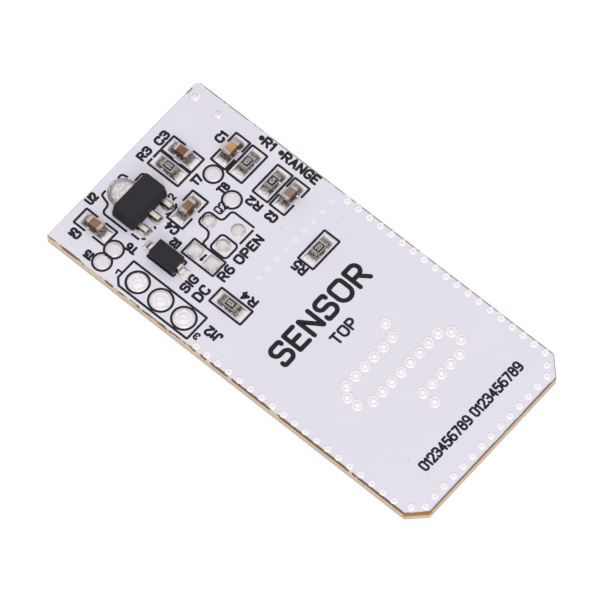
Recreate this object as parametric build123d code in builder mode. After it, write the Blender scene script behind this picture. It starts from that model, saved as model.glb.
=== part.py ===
from build123d import *
import os
from math import cos, radians, sin

os.makedirs("parts", exist_ok=True)

# The board: fibreglass laminate with a white mask, two corners cropped at the aerial end
board_length = 40.5
board_width = 19.1
board_thickness = 1.2
corner_crop = 1.5
corner_nick = 0.3

# Tinned copper that stands proud of the board
land_thickness = 0.05
plating = 0.05

# Three holes for a pin header, along the long edge
header_pitch = 2.54
header_pins = 3
header_x = 8.6
header_y = 1.6
header_hole_radius = 0.5
header_land_radius = 0.89

# Two holes for a light sensor's legs, in the corner
sensor_pitch = 2.54
sensor_x = 0.75
sensor_edge = 1.2
sensor_hole_radius = 0.3
sensor_land_radius = 0.5

# Row of small plated holes that fences the aerial end
fence_pitch = 1.195
fence_margin = 0.35
fence_near_start = 16.1
fence_far_start = 16.85
fence_near_stop = 2.8
fence_far_stop = 2.1
fence_end_margin = 0.62
fence_end_start = 1.65
fence_corner_near = (1.45, 0.85)
fence_corner_far = (1.3, 1.15)
fence_land_radius = 0.31
fence_hole_radius = 0.15

# Short row of covered holes between the parts and the aerial
divider_x = 15.95
divider_start = 8.5
divider_pitch = 1.165
divider_edge = 1.25
divider_land_radius = 0.24
divider_cover = 0.03

# S-shaped line of solder-filled holes in the aerial end
aerial_step = 1.175
aerial_lane = 2.605
aerial_from_end = 12.63
aerial_top_y = 11.6
aerial_drops = 6
aerial_climbs = 8
aerial_last_drops = 5
aerial_climb_y = 6.1
aerial_last_y = 14.05
aerial_turn_spread = 0.54
aerial_turn_reach = 1.15
aerial_tail = 1.27
aerial_land_radius = 0.44
aerial_button_radius = 0.27
aerial_button_height = 0.04

# Bare test pads
test_pad_radius = 0.65

# Chip parts of the 1.6 by 0.8 mm size, and the lands they are soldered to
chip_length = 1.6
chip_width = 0.8
chip_skin = 0.04
chip_land_length = 1.25
chip_land_width = 1.15
chip_land_gap = 0.6
chip_toe_run = 0.5
capacitor_height = 0.8
capacitor_band = 0.36
capacitor_edge = 0.06
capacitor_toe_height = 0.5
resistor_slab = 0.38
resistor_band = 0.38
resistor_coat = 0.06
resistor_coat_inset = 0.04
resistor_toe_height = 0.36

# Voltage regulator: a moulded body on a flat lead frame, tab to one side and three leads to the other
regulator_width = 2.5
regulator_length = 4.5
regulator_height = 1.5
regulator_draft = 6
regulator_frame = 0.4
regulator_tab_width = 1.75
regulator_tab_reach = 0.7
regulator_tab_round = 0.25
regulator_lead_pitch = 1.5
regulator_lead_width = 0.44
regulator_lead_reach = 0.95
regulator_lead_entry = 0.3
regulator_land_length = 1.3
regulator_land_width = 1.0
regulator_land_corner = 0.2
regulator_toe_run = 0.25
regulator_bank = 0.28
regulator_bank_slope = 35
regulator_dome_offset = 1.8
regulator_dome_radius = 1.38
regulator_dome_height = 0.46

# Diode: a moulded body with one bent lead at each end
diode_length = 2.7
diode_width = 1.6
diode_height = 1.1
diode_draft = 6
diode_span = 3.75
diode_lead_width = 0.6
diode_lead_thickness = 0.14
diode_land_length = 1.1
diode_land_width = 1.0
diode_toe_run = 0.47

# Bent leads
lead_entry = 0.15
lead_shoulder = 0.14
lead_slope = 0.06
toe_crest = 0.04
toe_margin = 0.06
standoff = 0.06

# Controller chip under the board, 16 leads
controller_length = 9.9
controller_width = 3.9
controller_height = 1.5
controller_draft = 6
controller_pins = 16
controller_end = 0.505
controller_pitch = (controller_length - 2 * controller_end) / (controller_pins / 2 - 1)
controller_span = 6.0
controller_lead_width = 0.4
controller_lead_thickness = 0.2
controller_land_length = 1.4
controller_land_width = 0.6
controller_toe_run = 0.4
controller_dot_radius = 0.4
controller_dot_depth = 0.06
controller_dot_inset = 0.9

# High-frequency transistor under the board, three leads
transistor_length = 2.9
transistor_width = 1.3
transistor_height = 0.95
transistor_draft = 6
transistor_pitch = 0.95
transistor_span = 2.4
transistor_lead_width = 0.4
transistor_lead_thickness = 0.12
transistor_land_length = 0.9
transistor_land_width = 0.7
transistor_toe_run = 0.3

# Where parts stand, in mm from the board's corner beside the sensor end and the header edge, and how far turned
upper_row_y = 15.88
capacitor_places = {
    1: (6.45, upper_row_y, 90),
    2: (12.95, upper_row_y, 90),
    3: (3.57, 13.02, 0),
    4: (7.3, 9.4, 90),
    5: (2.55, 3.17, 0),
}
resistor_places = {
    1: (8.28, upper_row_y, 90),
    2: (11.07, upper_row_y, 90),
    3: (3.57, 11.3, 0),
    4: (15.9, 5.0, 0),
    5: (18.03, 13.7, 90),
}
regulator_place = (4.0, 7.1, 0)
diode_place = (9.05, 4.75, 0)
test_pad_places = [(5.1, 1.1), (5.1, 2.6), (9.5, 12.5), (6.75, 13.3)]
spare_transistor_x = 9.4
spare_transistor_y = 9.75
spare_transistor_reach = 2.37
spare_transistor_pitch = 1.9
spare_transistor_radius = 0.63
spare_transistor_bump = 0.15
spare_transistor_edge = 0.11
spare_link_place = (11.22, 6.92)
spare_link_land_length = 1.3
spare_link_land_width = 1.3
spare_link_gap = 0.56
spare_link_bump = 0.1
spare_link_edge = 0.08

# Underside, measured from the same corner
controller_place = (9.2, 10.4, 90)
transistor_place = (20.0, 9.6, 0)
under_column_x = 2.6
under_column_y = 3.2
under_column_rows = 7
under_sensor_clearance = 2.7
under_column_run = board_width - sensor_edge - under_sensor_clearance - under_column_y
under_row_gap = under_column_run / (under_column_rows - 1)
under_side_x = 14.0
under_side_y = 6.0
under_side_gap = 4.0
under_capacitor_places = [
    (under_column_x, under_column_y, 0),
    (under_column_x, under_column_y + 2 * under_row_gap, 0),
    (under_column_x, under_column_y + 4 * under_row_gap, 0),
    (under_side_x, under_side_y, 90),
    (under_side_x, under_side_y + 2 * under_side_gap, 90),
    (23.4, 9.6, 90),
]
under_resistor_places = [
    (under_column_x, under_column_y + under_row_gap, 0),
    (under_column_x, under_column_y + 3 * under_row_gap, 0),
    (under_column_x, under_column_y + 5 * under_row_gap, 0),
    (under_column_x, under_column_y + 6 * under_row_gap, 0),
    (under_side_x, under_side_y + under_side_gap, 90),
    (20.0, 4.2, 0),
    (20.0, 6.2, 0),
    (20.0, 13.0, 0),
]

# Few sides keep what repeats light; the header and sensor holes have round bores, and their barrels
# are turned by half a side, so that flats face along the board and across it
round_sides = 14
barrel_sides = 12
barrel_turn = 180 / barrel_sides
header_barrel = header_hole_radius + plating
sensor_barrel = sensor_hole_radius + plating
small_sides = 8
drill_sides = 6

# Heights: the controller's face is the lowest point, and the board stands above it
controller_drop = land_thickness + standoff + controller_height
board_bottom = controller_drop
board_top = board_bottom + board_thickness
top_face = Plane.XY.offset(board_top)
bottom_face = Plane.XY.offset(board_bottom)


def spot(x, y):
    """A place measured from the board's corner, in the frame centred on the board."""
    return (x - board_length / 2, y - board_width / 2)


def seat(place, up=1):
    """The plane a part stands on, local X along it: the board's top, or its underside with up=-1."""
    x, y, turn = place
    heading = (cos(radians(turn)), sin(radians(turn)), 0)
    height = board_top if up > 0 else board_bottom
    return Plane(origin=(*spot(x, y), height), x_dir=heading, z_dir=(0, 0, up))


def turned(place, turn):
    """The same place with local X turned further, to face an end or a side."""
    x, y, heading = place
    return (x, y, heading + turn)


def side_on(base, y=0.0):
    """The upright plane through a seat's length, where a lead's profile is drawn as length by height."""
    return Plane(origin=base.from_local_coords((0, y, 0)), x_dir=base.x_dir, z_dir=-base.y_dir)


def end_on(base, x):
    """The upright plane across a seat, where an end view is drawn as width by height."""
    return Plane(origin=base.from_local_coords((x, 0, 0)), x_dir=base.y_dir, z_dir=base.x_dir)


def row(start, stop, pitch):
    """Evenly pitched places from start up to stop."""
    return [start + pitch * i for i in range(int((stop - start) / pitch + 1e-6) + 1)]


def header_spots():
    return [spot(header_x + header_pitch * i, header_y) for i in range(header_pins)]


def sensor_spots():
    return [spot(sensor_x + sensor_pitch * i, board_width - sensor_edge) for i in range(2)]


def fence_spots():
    near = row(fence_near_start, board_length - fence_near_stop, fence_pitch)
    far = row(fence_far_start, board_length - fence_far_stop, fence_pitch)
    end = row(fence_end_start, board_width - corner_crop, fence_pitch)
    found = [spot(x, fence_margin) for x in near]
    found += [spot(x, board_width - fence_margin) for x in far]
    found += [spot(board_length - fence_end_margin, y) for y in end]
    found.append(spot(board_length - fence_corner_near[0], fence_corner_near[1]))
    found.append(spot(board_length - fence_corner_far[0], board_width - fence_corner_far[1]))
    return found


def divider_spots():
    return [spot(divider_x, y) for y in row(divider_start, board_width - divider_edge, divider_pitch)]


def aerial_spots():
    """Down the first lane, up the second and down the third, with two holes round each turn."""
    first = board_length - aerial_from_end
    second = first + aerial_lane
    third = second + aerial_lane
    low = aerial_climb_y - aerial_turn_reach
    high = aerial_climb_y + aerial_step * (aerial_climbs - 1) + aerial_turn_reach / 1.4
    found = [(first - aerial_tail, aerial_top_y + aerial_step / 2)]
    found += [(first, aerial_top_y - aerial_step * i) for i in range(aerial_drops)]
    found += [((first + second) / 2 + side * aerial_turn_spread, low) for side in (-1, 1)]
    found += [(second, aerial_climb_y + aerial_step * i) for i in range(aerial_climbs)]
    found += [((second + third) / 2 + side * aerial_turn_spread, high) for side in (-1, 1)]
    found += [(third, aerial_last_y - aerial_step * i) for i in range(aerial_last_drops)]
    found.append((third + aerial_tail, aerial_last_y - aerial_step * (aerial_last_drops - 1)))
    return [spot(x, y) for x, y in found]


def save(built, name):
    built.part.label = name
    export_step(built.part, f"parts/{name}.step")


# Circuit board
with BuildPart() as circuit_board:
    with BuildSketch(bottom_face):
        Rectangle(board_length, board_width)
        cropped = vertices().group_by(Axis.X)[-1]
        chamfer(cropped, corner_crop)
        nicked = vertices().sort_by(Axis.X)[:2].sort_by(Axis.Y)[-1]
        chamfer(nicked, corner_nick)
        with Locations(*header_spots()):
            RegularPolygon(header_barrel, barrel_sides, rotation=barrel_turn, mode=Mode.SUBTRACT)
        with Locations(*sensor_spots()):
            RegularPolygon(sensor_barrel, barrel_sides, rotation=barrel_turn, mode=Mode.SUBTRACT)
        with Locations(*fence_spots()):
            RegularPolygon(fence_hole_radius, drill_sides, mode=Mode.SUBTRACT)
    extrude(amount=board_thickness)
save(circuit_board, "circuit_board")


def plated_holes(spots, hole_radius, barrel_radius, land_radius):
    """Copper tubes through the board, each with a tinned land on both faces and a round bore."""
    with BuildPart() as plated:
        for face in (bottom_face.offset(-land_thickness), top_face):
            with BuildSketch(face):
                with Locations(*spots):
                    RegularPolygon(land_radius, round_sides)
            extrude(amount=land_thickness)
        with BuildSketch(bottom_face):
            with Locations(*spots):
                RegularPolygon(barrel_radius, barrel_sides, rotation=barrel_turn)
        extrude(amount=board_thickness)
        with BuildSketch(bottom_face.offset(-land_thickness)):
            with Locations(*spots):
                Circle(hole_radius)
        extrude(amount=board_thickness + 2 * land_thickness, mode=Mode.SUBTRACT)
    return plated


header = plated_holes(header_spots(), header_hole_radius, header_barrel, header_land_radius)
save(header, "header_plated_holes")
sensor = plated_holes(sensor_spots(), sensor_hole_radius, sensor_barrel, sensor_land_radius)
save(sensor, "sensor_plated_holes")

# Fence of small holes: a tinned ring round each drilled hole
with BuildPart() as fence_rings:
    with BuildSketch(top_face):
        with Locations(*fence_spots()):
            RegularPolygon(fence_land_radius, small_sides)
            RegularPolygon(fence_hole_radius, drill_sides, mode=Mode.SUBTRACT)
    extrude(amount=land_thickness)
save(fence_rings, "fence_rings")

# Divider row: filled holes that the mask covers, each a low bump
with BuildPart() as divider_bumps:
    with BuildSketch(top_face):
        with Locations(*divider_spots()):
            RegularPolygon(divider_land_radius, small_sides)
    extrude(amount=divider_cover)
save(divider_bumps, "divider_bumps")

# Aerial line: solder-filled holes, each a land with a raised button in its middle
with BuildPart() as aerial_studs:
    with BuildSketch(top_face):
        with Locations(*aerial_spots()):
            RegularPolygon(aerial_land_radius, small_sides)
    extrude(amount=land_thickness)
    with BuildSketch(top_face.offset(land_thickness)):
        with Locations(*aerial_spots()):
            RegularPolygon(aerial_button_radius, small_sides)
    extrude(amount=aerial_button_height)
save(aerial_studs, "aerial_studs")

# Test pads
with BuildPart() as test_pads:
    with BuildSketch(top_face):
        with Locations(*[spot(x, y) for x, y in test_pad_places]):
            RegularPolygon(test_pad_radius, round_sides)
    extrude(amount=land_thickness)
save(test_pads, "test_pads")

# Unused transistor place: three tinned lands
with BuildPart() as spare_transistor_lands:
    spare_column = spare_transistor_x + spare_transistor_reach
    spare_spots = [
        spot(spare_transistor_x, spare_transistor_y),
        spot(spare_column, spare_transistor_y - spare_transistor_pitch / 2),
        spot(spare_column, spare_transistor_y + spare_transistor_pitch / 2),
    ]
    with BuildSketch(top_face):
        with Locations(*spare_spots):
            RegularPolygon(spare_transistor_radius, round_sides)
    extrude(amount=spare_transistor_bump)
    chamfer(faces().group_by(Axis.Z)[-1].edges(), spare_transistor_edge)
save(spare_transistor_lands, "spare_transistor_lands")

# Unused resistor place: two tinned lands side by side
with BuildPart() as spare_resistor_lands:
    with BuildSketch(top_face):
        reach = (spare_link_land_length + spare_link_gap) / 2
        with Locations(spot(*spare_link_place)):
            with Locations((-reach, 0), (reach, 0)):
                Rectangle(spare_link_land_length, spare_link_land_width)
    extrude(amount=spare_link_bump)
    chamfer(faces().group_by(Axis.Z)[-1].edges(), spare_link_edge)
save(spare_resistor_lands, "spare_resistor_lands")


def toe(base, tip, run, height, y, width):
    """Solder that slopes from a land up to the top of what stands on it, drawn from the side."""
    with BuildPart() as slope:
        with BuildSketch(side_on(base, y)):
            with BuildLine():
                Polyline(
                    (tip, land_thickness),
                    (tip, land_thickness + height),
                    (tip + toe_crest, land_thickness + height),
                    (tip + run, land_thickness),
                    close=True,
                )
            make_face()
        extrude(amount=width / 2, both=True)
    return slope.part


def chip_solder(places, up, toe_height):
    """Two lands for each chip part, each with the solder that climbs the chip's end."""
    land_centre = (chip_land_gap + chip_land_length) / 2
    with BuildPart() as solder:
        for place in places:
            for turn in (0, 180):
                base = seat(turned(place, turn), up)
                with BuildSketch(base):
                    with Locations((land_centre, 0)):
                        Rectangle(chip_land_length, chip_land_width)
                extrude(amount=land_thickness)
                add(toe(base, chip_length / 2, chip_toe_run, toe_height, 0, chip_width))
    return solder


def capacitor_ceramics(places, up=1):
    """The ceramic block of each capacitor, a skin smaller than its metal ends all round."""
    with BuildPart() as blocks:
        for place in places:
            base = seat(place, up)
            with BuildSketch(end_on(base, chip_skin - chip_length / 2)):
                with Locations((0, land_thickness + capacitor_height / 2)):
                    Rectangle(chip_width - 2 * chip_skin, capacitor_height - 2 * chip_skin)
            extrude(amount=chip_length - 2 * chip_skin)
    return blocks


def capacitor_ends(places, blocks, up=1):
    """The metal cups that the ceramic block's two ends sit in."""
    with BuildPart() as cups:
        for place in places:
            base = seat(place, up)
            for start in (-chip_length / 2, chip_length / 2 - capacitor_band):
                with BuildSketch(end_on(base, start)):
                    with Locations((0, land_thickness + capacitor_height / 2)):
                        Rectangle(chip_width, capacitor_height)
                    chamfer(vertices(), capacitor_edge)
                extrude(amount=capacitor_band)
        add(blocks.part, mode=Mode.SUBTRACT)
    return cups


def resistor_slabs(places, up=1):
    """The alumina slab of each resistor, as wide as the chip and a skin short of each end."""
    with BuildPart() as slabs:
        for place in places:
            with BuildSketch(seat(place, up).offset(land_thickness + chip_skin)):
                Rectangle(chip_length - 2 * chip_skin, chip_width)
            extrude(amount=resistor_slab)
    return slabs


def resistor_ends(places, slabs, up=1):
    """The metal that wraps the slab's ends, over and under."""
    with BuildPart() as wraps:
        for place in places:
            with BuildSketch(seat(place, up).offset(land_thickness)):
                with Locations((-(chip_length - resistor_band) / 2, 0), ((chip_length - resistor_band) / 2, 0)):
                    Rectangle(resistor_band, chip_width)
            extrude(amount=resistor_slab + 2 * chip_skin)
        add(slabs.part, mode=Mode.SUBTRACT)
    return wraps


def resistor_covers(places, up=1):
    """The dark glaze over the resistive film, between the metal ends."""
    with BuildPart() as covers:
        for place in places:
            with BuildSketch(seat(place, up).offset(land_thickness + chip_skin + resistor_slab)):
                Rectangle(chip_length - 2 * resistor_band, chip_width - 2 * resistor_coat_inset)
            extrude(amount=resistor_coat)
    return covers


# Chip parts on the top, each capacitor and resistor with nodes of its own
for number, place in capacitor_places.items():
    ceramic = capacitor_ceramics([place])
    save(ceramic, f"capacitor_{number}_ceramic")
    save(capacitor_ends([place], ceramic), f"capacitor_{number}_ends")

for number, place in resistor_places.items():
    slab = resistor_slabs([place])
    save(slab, f"resistor_{number}_slab")
    save(resistor_ends([place], slab), f"resistor_{number}_ends")

save(resistor_covers(resistor_places.values()), "resistor_covers")
save(chip_solder(capacitor_places.values(), 1, capacitor_toe_height), "capacitor_solder")
save(chip_solder(resistor_places.values(), 1, resistor_toe_height), "resistor_solder")

# Chip parts on the underside, like pieces together
under_ceramics = capacitor_ceramics(under_capacitor_places, -1)
save(under_ceramics, "under_capacitor_ceramics")
save(capacitor_ends(under_capacitor_places, under_ceramics, -1), "under_capacitor_ends")
under_slabs = resistor_slabs(under_resistor_places, -1)
save(under_slabs, "under_resistor_slabs")
save(resistor_ends(under_resistor_places, under_slabs, -1), "under_resistor_ends")
save(resistor_covers(under_resistor_places, -1), "under_resistor_covers")
save(chip_solder(under_capacitor_places, -1, capacitor_toe_height), "under_capacitor_solder")
save(chip_solder(under_resistor_places, -1, resistor_toe_height), "under_resistor_solder")


def moulded_body(place, up, length, width, height, draft, leads):
    """An epoxy body: two drafted halves meeting where the leads come out, with the leads' pockets."""
    with BuildPart() as body:
        with BuildSketch(seat(place, up).offset(land_thickness + standoff + height / 2)):
            Rectangle(length, width)
        extrude(amount=height / 2, both=True, taper=draft)
        add(leads.part, mode=Mode.SUBTRACT)
    return body


def bent_leads(place, up, sides, body_width, height, span, width, thickness):
    """Gull-wing leads: out of the body at half its height, down and out again along the land.

    sides gives, for each side of the body, the turn that faces it and the leads' offsets along it.
    """
    inside = body_width / 2 - lead_entry
    knee = body_width / 2 + lead_shoulder
    tip = span / 2
    foot = land_thickness
    level = land_thickness + standoff + height / 2
    with BuildPart() as leads:
        for turn, offsets in sides:
            base = seat(turned(place, turn), up)
            for offset in offsets:
                with BuildSketch(side_on(base, offset)):
                    with BuildLine():
                        Polyline(
                            (inside, level + thickness / 2),
                            (knee + thickness / 2, level + thickness / 2),
                            (knee + lead_slope + thickness / 2, foot + thickness),
                            (tip, foot + thickness),
                            (tip, foot),
                            (knee + lead_slope - thickness / 2, foot),
                            (knee - thickness / 2, level - thickness / 2),
                            (inside, level - thickness / 2),
                            close=True,
                        )
                    make_face()
                extrude(amount=width / 2, both=True)
    return leads


def lead_solder(place, up, sides, span, toe_run, land_length, land_width, lead_width, thickness):
    """The land under each bent lead's foot, and the solder that slopes from the land up to its tip."""
    tip = span / 2
    middle = tip + toe_run - land_length / 2
    with BuildPart() as solder:
        for turn, offsets in sides:
            base = seat(turned(place, turn), up)
            for offset in offsets:
                with BuildSketch(base):
                    with Locations((middle, offset)):
                        Rectangle(land_length, land_width)
                extrude(amount=land_thickness)
                add(toe(base, tip, toe_run - toe_margin, thickness, offset, lead_width))
    return solder


# Diode
diode_sides = [(0, [0]), (180, [0])]
diode_leads = bent_leads(
    diode_place, 1, diode_sides, diode_length, diode_height, diode_span, diode_lead_width, diode_lead_thickness
)
save(diode_leads, "diode_leads")
save(moulded_body(diode_place, 1, diode_length, diode_width, diode_height, diode_draft, diode_leads), "diode_body")
diode_solder = lead_solder(
    diode_place,
    1,
    diode_sides,
    diode_span,
    diode_toe_run,
    diode_land_length,
    diode_land_width,
    diode_lead_width,
    diode_lead_thickness,
)
save(diode_solder, "diode_solder")

# Controller chip
side_pins = controller_pins // 2
controller_offsets = [(i - (side_pins - 1) / 2) * controller_pitch for i in range(side_pins)]
controller_sides = [(90, controller_offsets), (270, controller_offsets)]
controller_leads = bent_leads(
    controller_place,
    -1,
    controller_sides,
    controller_width,
    controller_height,
    controller_span,
    controller_lead_width,
    controller_lead_thickness,
)
save(controller_leads, "controller_leads")
controller_shell = moulded_body(
    controller_place, -1, controller_length, controller_width, controller_height, controller_draft, controller_leads
)
with BuildPart() as controller_body:
    add(controller_shell.part)
    with BuildSketch(seat(controller_place, -1).offset(controller_drop)):
        with Locations((controller_dot_inset - controller_length / 2, controller_dot_inset - controller_width / 2)):
            RegularPolygon(controller_dot_radius, barrel_sides)
    extrude(amount=-controller_dot_depth, mode=Mode.SUBTRACT)
save(controller_body, "controller_body")
controller_solder = lead_solder(
    controller_place,
    -1,
    controller_sides,
    controller_span,
    controller_toe_run,
    controller_land_length,
    controller_land_width,
    controller_lead_width,
    controller_lead_thickness,
)
save(controller_solder, "controller_solder")

# High-frequency transistor
transistor_sides = [(90, [0]), (270, [-transistor_pitch, transistor_pitch])]
transistor_leads = bent_leads(
    transistor_place,
    -1,
    transistor_sides,
    transistor_width,
    transistor_height,
    transistor_span,
    transistor_lead_width,
    transistor_lead_thickness,
)
save(transistor_leads, "transistor_leads")
transistor_body = moulded_body(
    transistor_place, -1, transistor_length, transistor_width, transistor_height, transistor_draft, transistor_leads
)
save(transistor_body, "transistor_body")
transistor_solder = lead_solder(
    transistor_place,
    -1,
    transistor_sides,
    transistor_span,
    transistor_toe_run,
    transistor_land_length,
    transistor_land_width,
    transistor_lead_width,
    transistor_lead_thickness,
)
save(transistor_solder, "transistor_solder")

# Voltage regulator
regulator_base = seat(regulator_place)
regulator_edge = regulator_width / 2
regulator_tip = regulator_edge + regulator_lead_reach
regulator_tab_end = regulator_edge + regulator_tab_reach

with BuildPart() as regulator_paddle:
    with BuildSketch(regulator_base.offset(land_thickness)):
        with Locations((-regulator_tab_end / 2, 0)):
            Rectangle(regulator_tab_end, regulator_tab_width)
            fillet(vertices().group_by(Axis.X)[0], regulator_tab_round)
        with Locations((regulator_tip / 2, 0)):
            Rectangle(regulator_tip, regulator_lead_width)
    extrude(amount=regulator_frame)
save(regulator_paddle, "regulator_paddle")

with BuildPart() as regulator_leads:
    lead_run = regulator_lead_reach + regulator_lead_entry
    with BuildSketch(regulator_base.offset(land_thickness)):
        with Locations(*[(regulator_tip - lead_run / 2, side * regulator_lead_pitch) for side in (-1, 1)]):
            Rectangle(lead_run, regulator_lead_width)
    extrude(amount=regulator_frame)
save(regulator_leads, "regulator_leads")

with BuildPart() as regulator_body:
    with BuildSketch(regulator_base.offset(land_thickness)):
        Rectangle(regulator_width, regulator_length)
    extrude(amount=regulator_frame)
    with BuildSketch(regulator_base.offset(land_thickness + regulator_frame)):
        Rectangle(regulator_width, regulator_length)
    extrude(amount=regulator_height - regulator_frame, taper=regulator_draft)
    add(regulator_paddle.part, mode=Mode.SUBTRACT)
    add(regulator_leads.part, mode=Mode.SUBTRACT)
save(regulator_body, "regulator_body")

# Solder under and round the regulator's leads, and the mound that its tab is sunk in
with BuildPart() as regulator_solder:
    land_middle = regulator_tip + regulator_toe_run - regulator_land_length / 2
    bank_length = regulator_lead_reach + regulator_toe_run - toe_margin
    bank_middle = regulator_edge + bank_length / 2
    for side in (-1, 0, 1):
        with BuildSketch(regulator_base):
            with Locations((land_middle, side * regulator_lead_pitch)):
                Rectangle(regulator_land_length, regulator_land_width)
                chamfer(vertices(), regulator_land_corner)
        extrude(amount=land_thickness)
        with BuildSketch(regulator_base.offset(land_thickness)):
            with Locations((bank_middle, side * regulator_lead_pitch)):
                Rectangle(bank_length, regulator_land_width - 2 * toe_margin)
        extrude(amount=regulator_bank, taper=regulator_bank_slope)
    tab_x, tab_y, _ = regulator_place
    mound_seat = seat((tab_x - regulator_dome_offset, tab_y, 0))
    mound_ball = (regulator_dome_radius**2 + regulator_dome_height**2) / (2 * regulator_dome_height)
    mound_top = land_thickness + regulator_dome_height
    mound_rim = (regulator_dome_radius, land_thickness)
    with BuildSketch(side_on(mound_seat)):
        with BuildLine():
            Polyline((0, mound_top), (0, 0), (regulator_dome_radius, 0), mound_rim)
            RadiusArc(mound_rim, (0, mound_top), -mound_ball)
        make_face()
    revolve(axis=Axis(mound_seat.origin, (0, 0, 1)))
    add(regulator_body.part, mode=Mode.SUBTRACT)
    add(regulator_paddle.part, mode=Mode.SUBTRACT)
    add(regulator_leads.part, mode=Mode.SUBTRACT)
save(regulator_solder, "regulator_solder")
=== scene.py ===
import math
import bpy
from mathutils import Matrix, Vector


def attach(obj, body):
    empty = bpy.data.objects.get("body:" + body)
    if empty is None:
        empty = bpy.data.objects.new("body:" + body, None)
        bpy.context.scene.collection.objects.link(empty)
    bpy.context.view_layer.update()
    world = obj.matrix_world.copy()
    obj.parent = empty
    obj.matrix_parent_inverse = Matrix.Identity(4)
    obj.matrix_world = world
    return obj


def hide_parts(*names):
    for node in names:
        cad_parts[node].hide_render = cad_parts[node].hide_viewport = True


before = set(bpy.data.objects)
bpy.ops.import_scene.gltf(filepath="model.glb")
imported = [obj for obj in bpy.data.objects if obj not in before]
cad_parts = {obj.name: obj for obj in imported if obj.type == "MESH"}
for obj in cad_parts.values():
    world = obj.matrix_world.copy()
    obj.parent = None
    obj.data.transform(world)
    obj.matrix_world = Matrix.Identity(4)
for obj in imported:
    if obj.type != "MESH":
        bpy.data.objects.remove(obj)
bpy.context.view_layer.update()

# The view: the module lies on a pale table and is seen from above its header edge, from far off through a long
# lens. A wide soft sky lights it from overhead and one softbox stands on the viewer's side, so that solder and
# tin have something bright and something grey to mirror.
scene = bpy.context.scene
scene.view_settings.view_transform = "Standard"
azimuth = math.radians(40.7163)
elevation = math.radians(64.0239)
camera_distance = 0.65372
camera_target = Vector((-0.0003462, -0.0003921, 0.00281))
level = math.cos(elevation)
back = Vector((math.sin(azimuth) * level, -math.cos(azimuth) * level, math.sin(elevation)))
camera = bpy.data.objects.new("camera", bpy.data.cameras.new("camera"))
scene.collection.objects.link(camera)
camera.data.lens = 473.1
camera.data.sensor_width = 36.0
camera.data.shift_x = -0.0005
camera.data.shift_y = 0.0005
camera.data.clip_start = 0.01
camera.data.clip_end = 20.0
camera.location = camera_target + camera_distance * back
camera.rotation_euler = back.to_track_quat("Z", "Y").to_euler()
scene.camera = camera


def linear(colour):
    """The linear colour that a shader wants, from an sRGB hex value."""
    channels = [int(colour[i:i + 2], 16) / 255 for i in (0, 2, 4)]
    return (*[c / 12.92 if c <= 0.04045 else ((c + 0.055) / 1.055) ** 2.4 for c in channels], 1.0)


def feed(node, inputs):
    """Sets a node's inputs, each to a value or to the socket, or the node's own result, that is to feed it."""
    for name, value in inputs.items():
        if isinstance(value, bpy.types.Node):
            value = next(socket for socket in value.outputs if socket.enabled)
        if isinstance(value, bpy.types.NodeSocket):
            node.id_data.links.new(value, node.inputs[name])
        else:
            node.inputs[name].default_value = value


def add_node(tree, kind, inputs, **settings):
    """A shader node with its settings and its inputs."""
    node = tree.nodes.new("ShaderNode" + kind)
    for setting, value in settings.items():
        setattr(node, setting, value)
    feed(node, inputs)
    return node


sky_overhead = 1.06
sky_low = 0.3
world = bpy.data.worlds.new("soft sky")
scene.world = world
world.use_nodes = True
sky = world.node_tree
direction = add_node(sky, "TexCoord", {})
upward = add_node(sky, "SeparateXYZ", {0: direction.outputs["Generated"]})
overhead = {0: upward.outputs["Z"], 1: 0.0, 2: 0.75, 3: sky_low, 4: sky_overhead}
height_glow = add_node(sky, "MapRange", overhead, interpolation_type="SMOOTHSTEP")
ray = add_node(sky, "LightPath", {})
seen = add_node(sky, "Mix", {0: ray.outputs["Is Camera Ray"], 2: height_glow, 3: 1.0})
feed(sky.nodes["Background"], {"Color": (1.0, 1.0, 1.0, 1.0), "Strength": seen})

softbox_power = 0.55
bpy.ops.object.light_add(type="AREA", location=(0.30, -0.26, 0.30))
softbox = bpy.context.object
softbox.name = "softbox"
softbox.data.shape = "SQUARE"
softbox.data.size = 0.22
softbox.data.energy = softbox_power
softbox.rotation_euler = Vector(softbox.location).to_track_quat("Z", "Y").to_euler()

bpy.ops.object.select_all(action="DESELECT")
bpy.ops.mesh.primitive_plane_add(size=6.0, location=(0.0, 0.0, -0.00001))
table = bpy.context.object
table.name = "table"
bpy.ops.object.transform_apply()
# Laminate: matt and evenly white, and grey where solder and tin mirror it
table_finish = bpy.data.materials.new("white laminated table top")
table_finish.use_nodes = True
tree = table_finish.node_tree
ray = add_node(tree, "LightPath", {})
mirrored = add_node(
    tree, "Math", {0: ray.outputs["Is Camera Ray"], 1: ray.outputs["Is Glossy Ray"]}, operation="MAXIMUM"
)
lift = add_node(tree, "Math", {0: mirrored, 1: 0.86}, operation="MULTIPLY")
paper = add_node(tree, "MapRange", {0: mirrored, 3: 0.94, 4: 0.18})
feed(tree.nodes["Principled BSDF"], {
    "Base Color": paper, "Roughness": 0.9, "Specular IOR Level": 0.1,
    "Emission Color": (1.0, 1.0, 1.0, 1.0), "Emission Strength": lift,
})
table.data.materials.append(table_finish)

# The circuit board: woven glass and epoxy laminate, routed to its outline, with a glossy white solder mask
# screened over the copper of both faces. The router leaves a brown line of bare laminate along the upper arris,
# and the cut edge shows the tan layers of the cloth.
MM = 0.001
board_length = 40.5
board_width = 19.1
board_bottom = 1.61
board_top = 2.81
corner_crop = 1.5


def at(x, y, z=0.0):
    """A place in the shared frame, in metres, from millimetres measured from the board's corner."""
    return Vector(((x - board_length / 2) * MM, (y - board_width / 2) * MM, z * MM))


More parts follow.
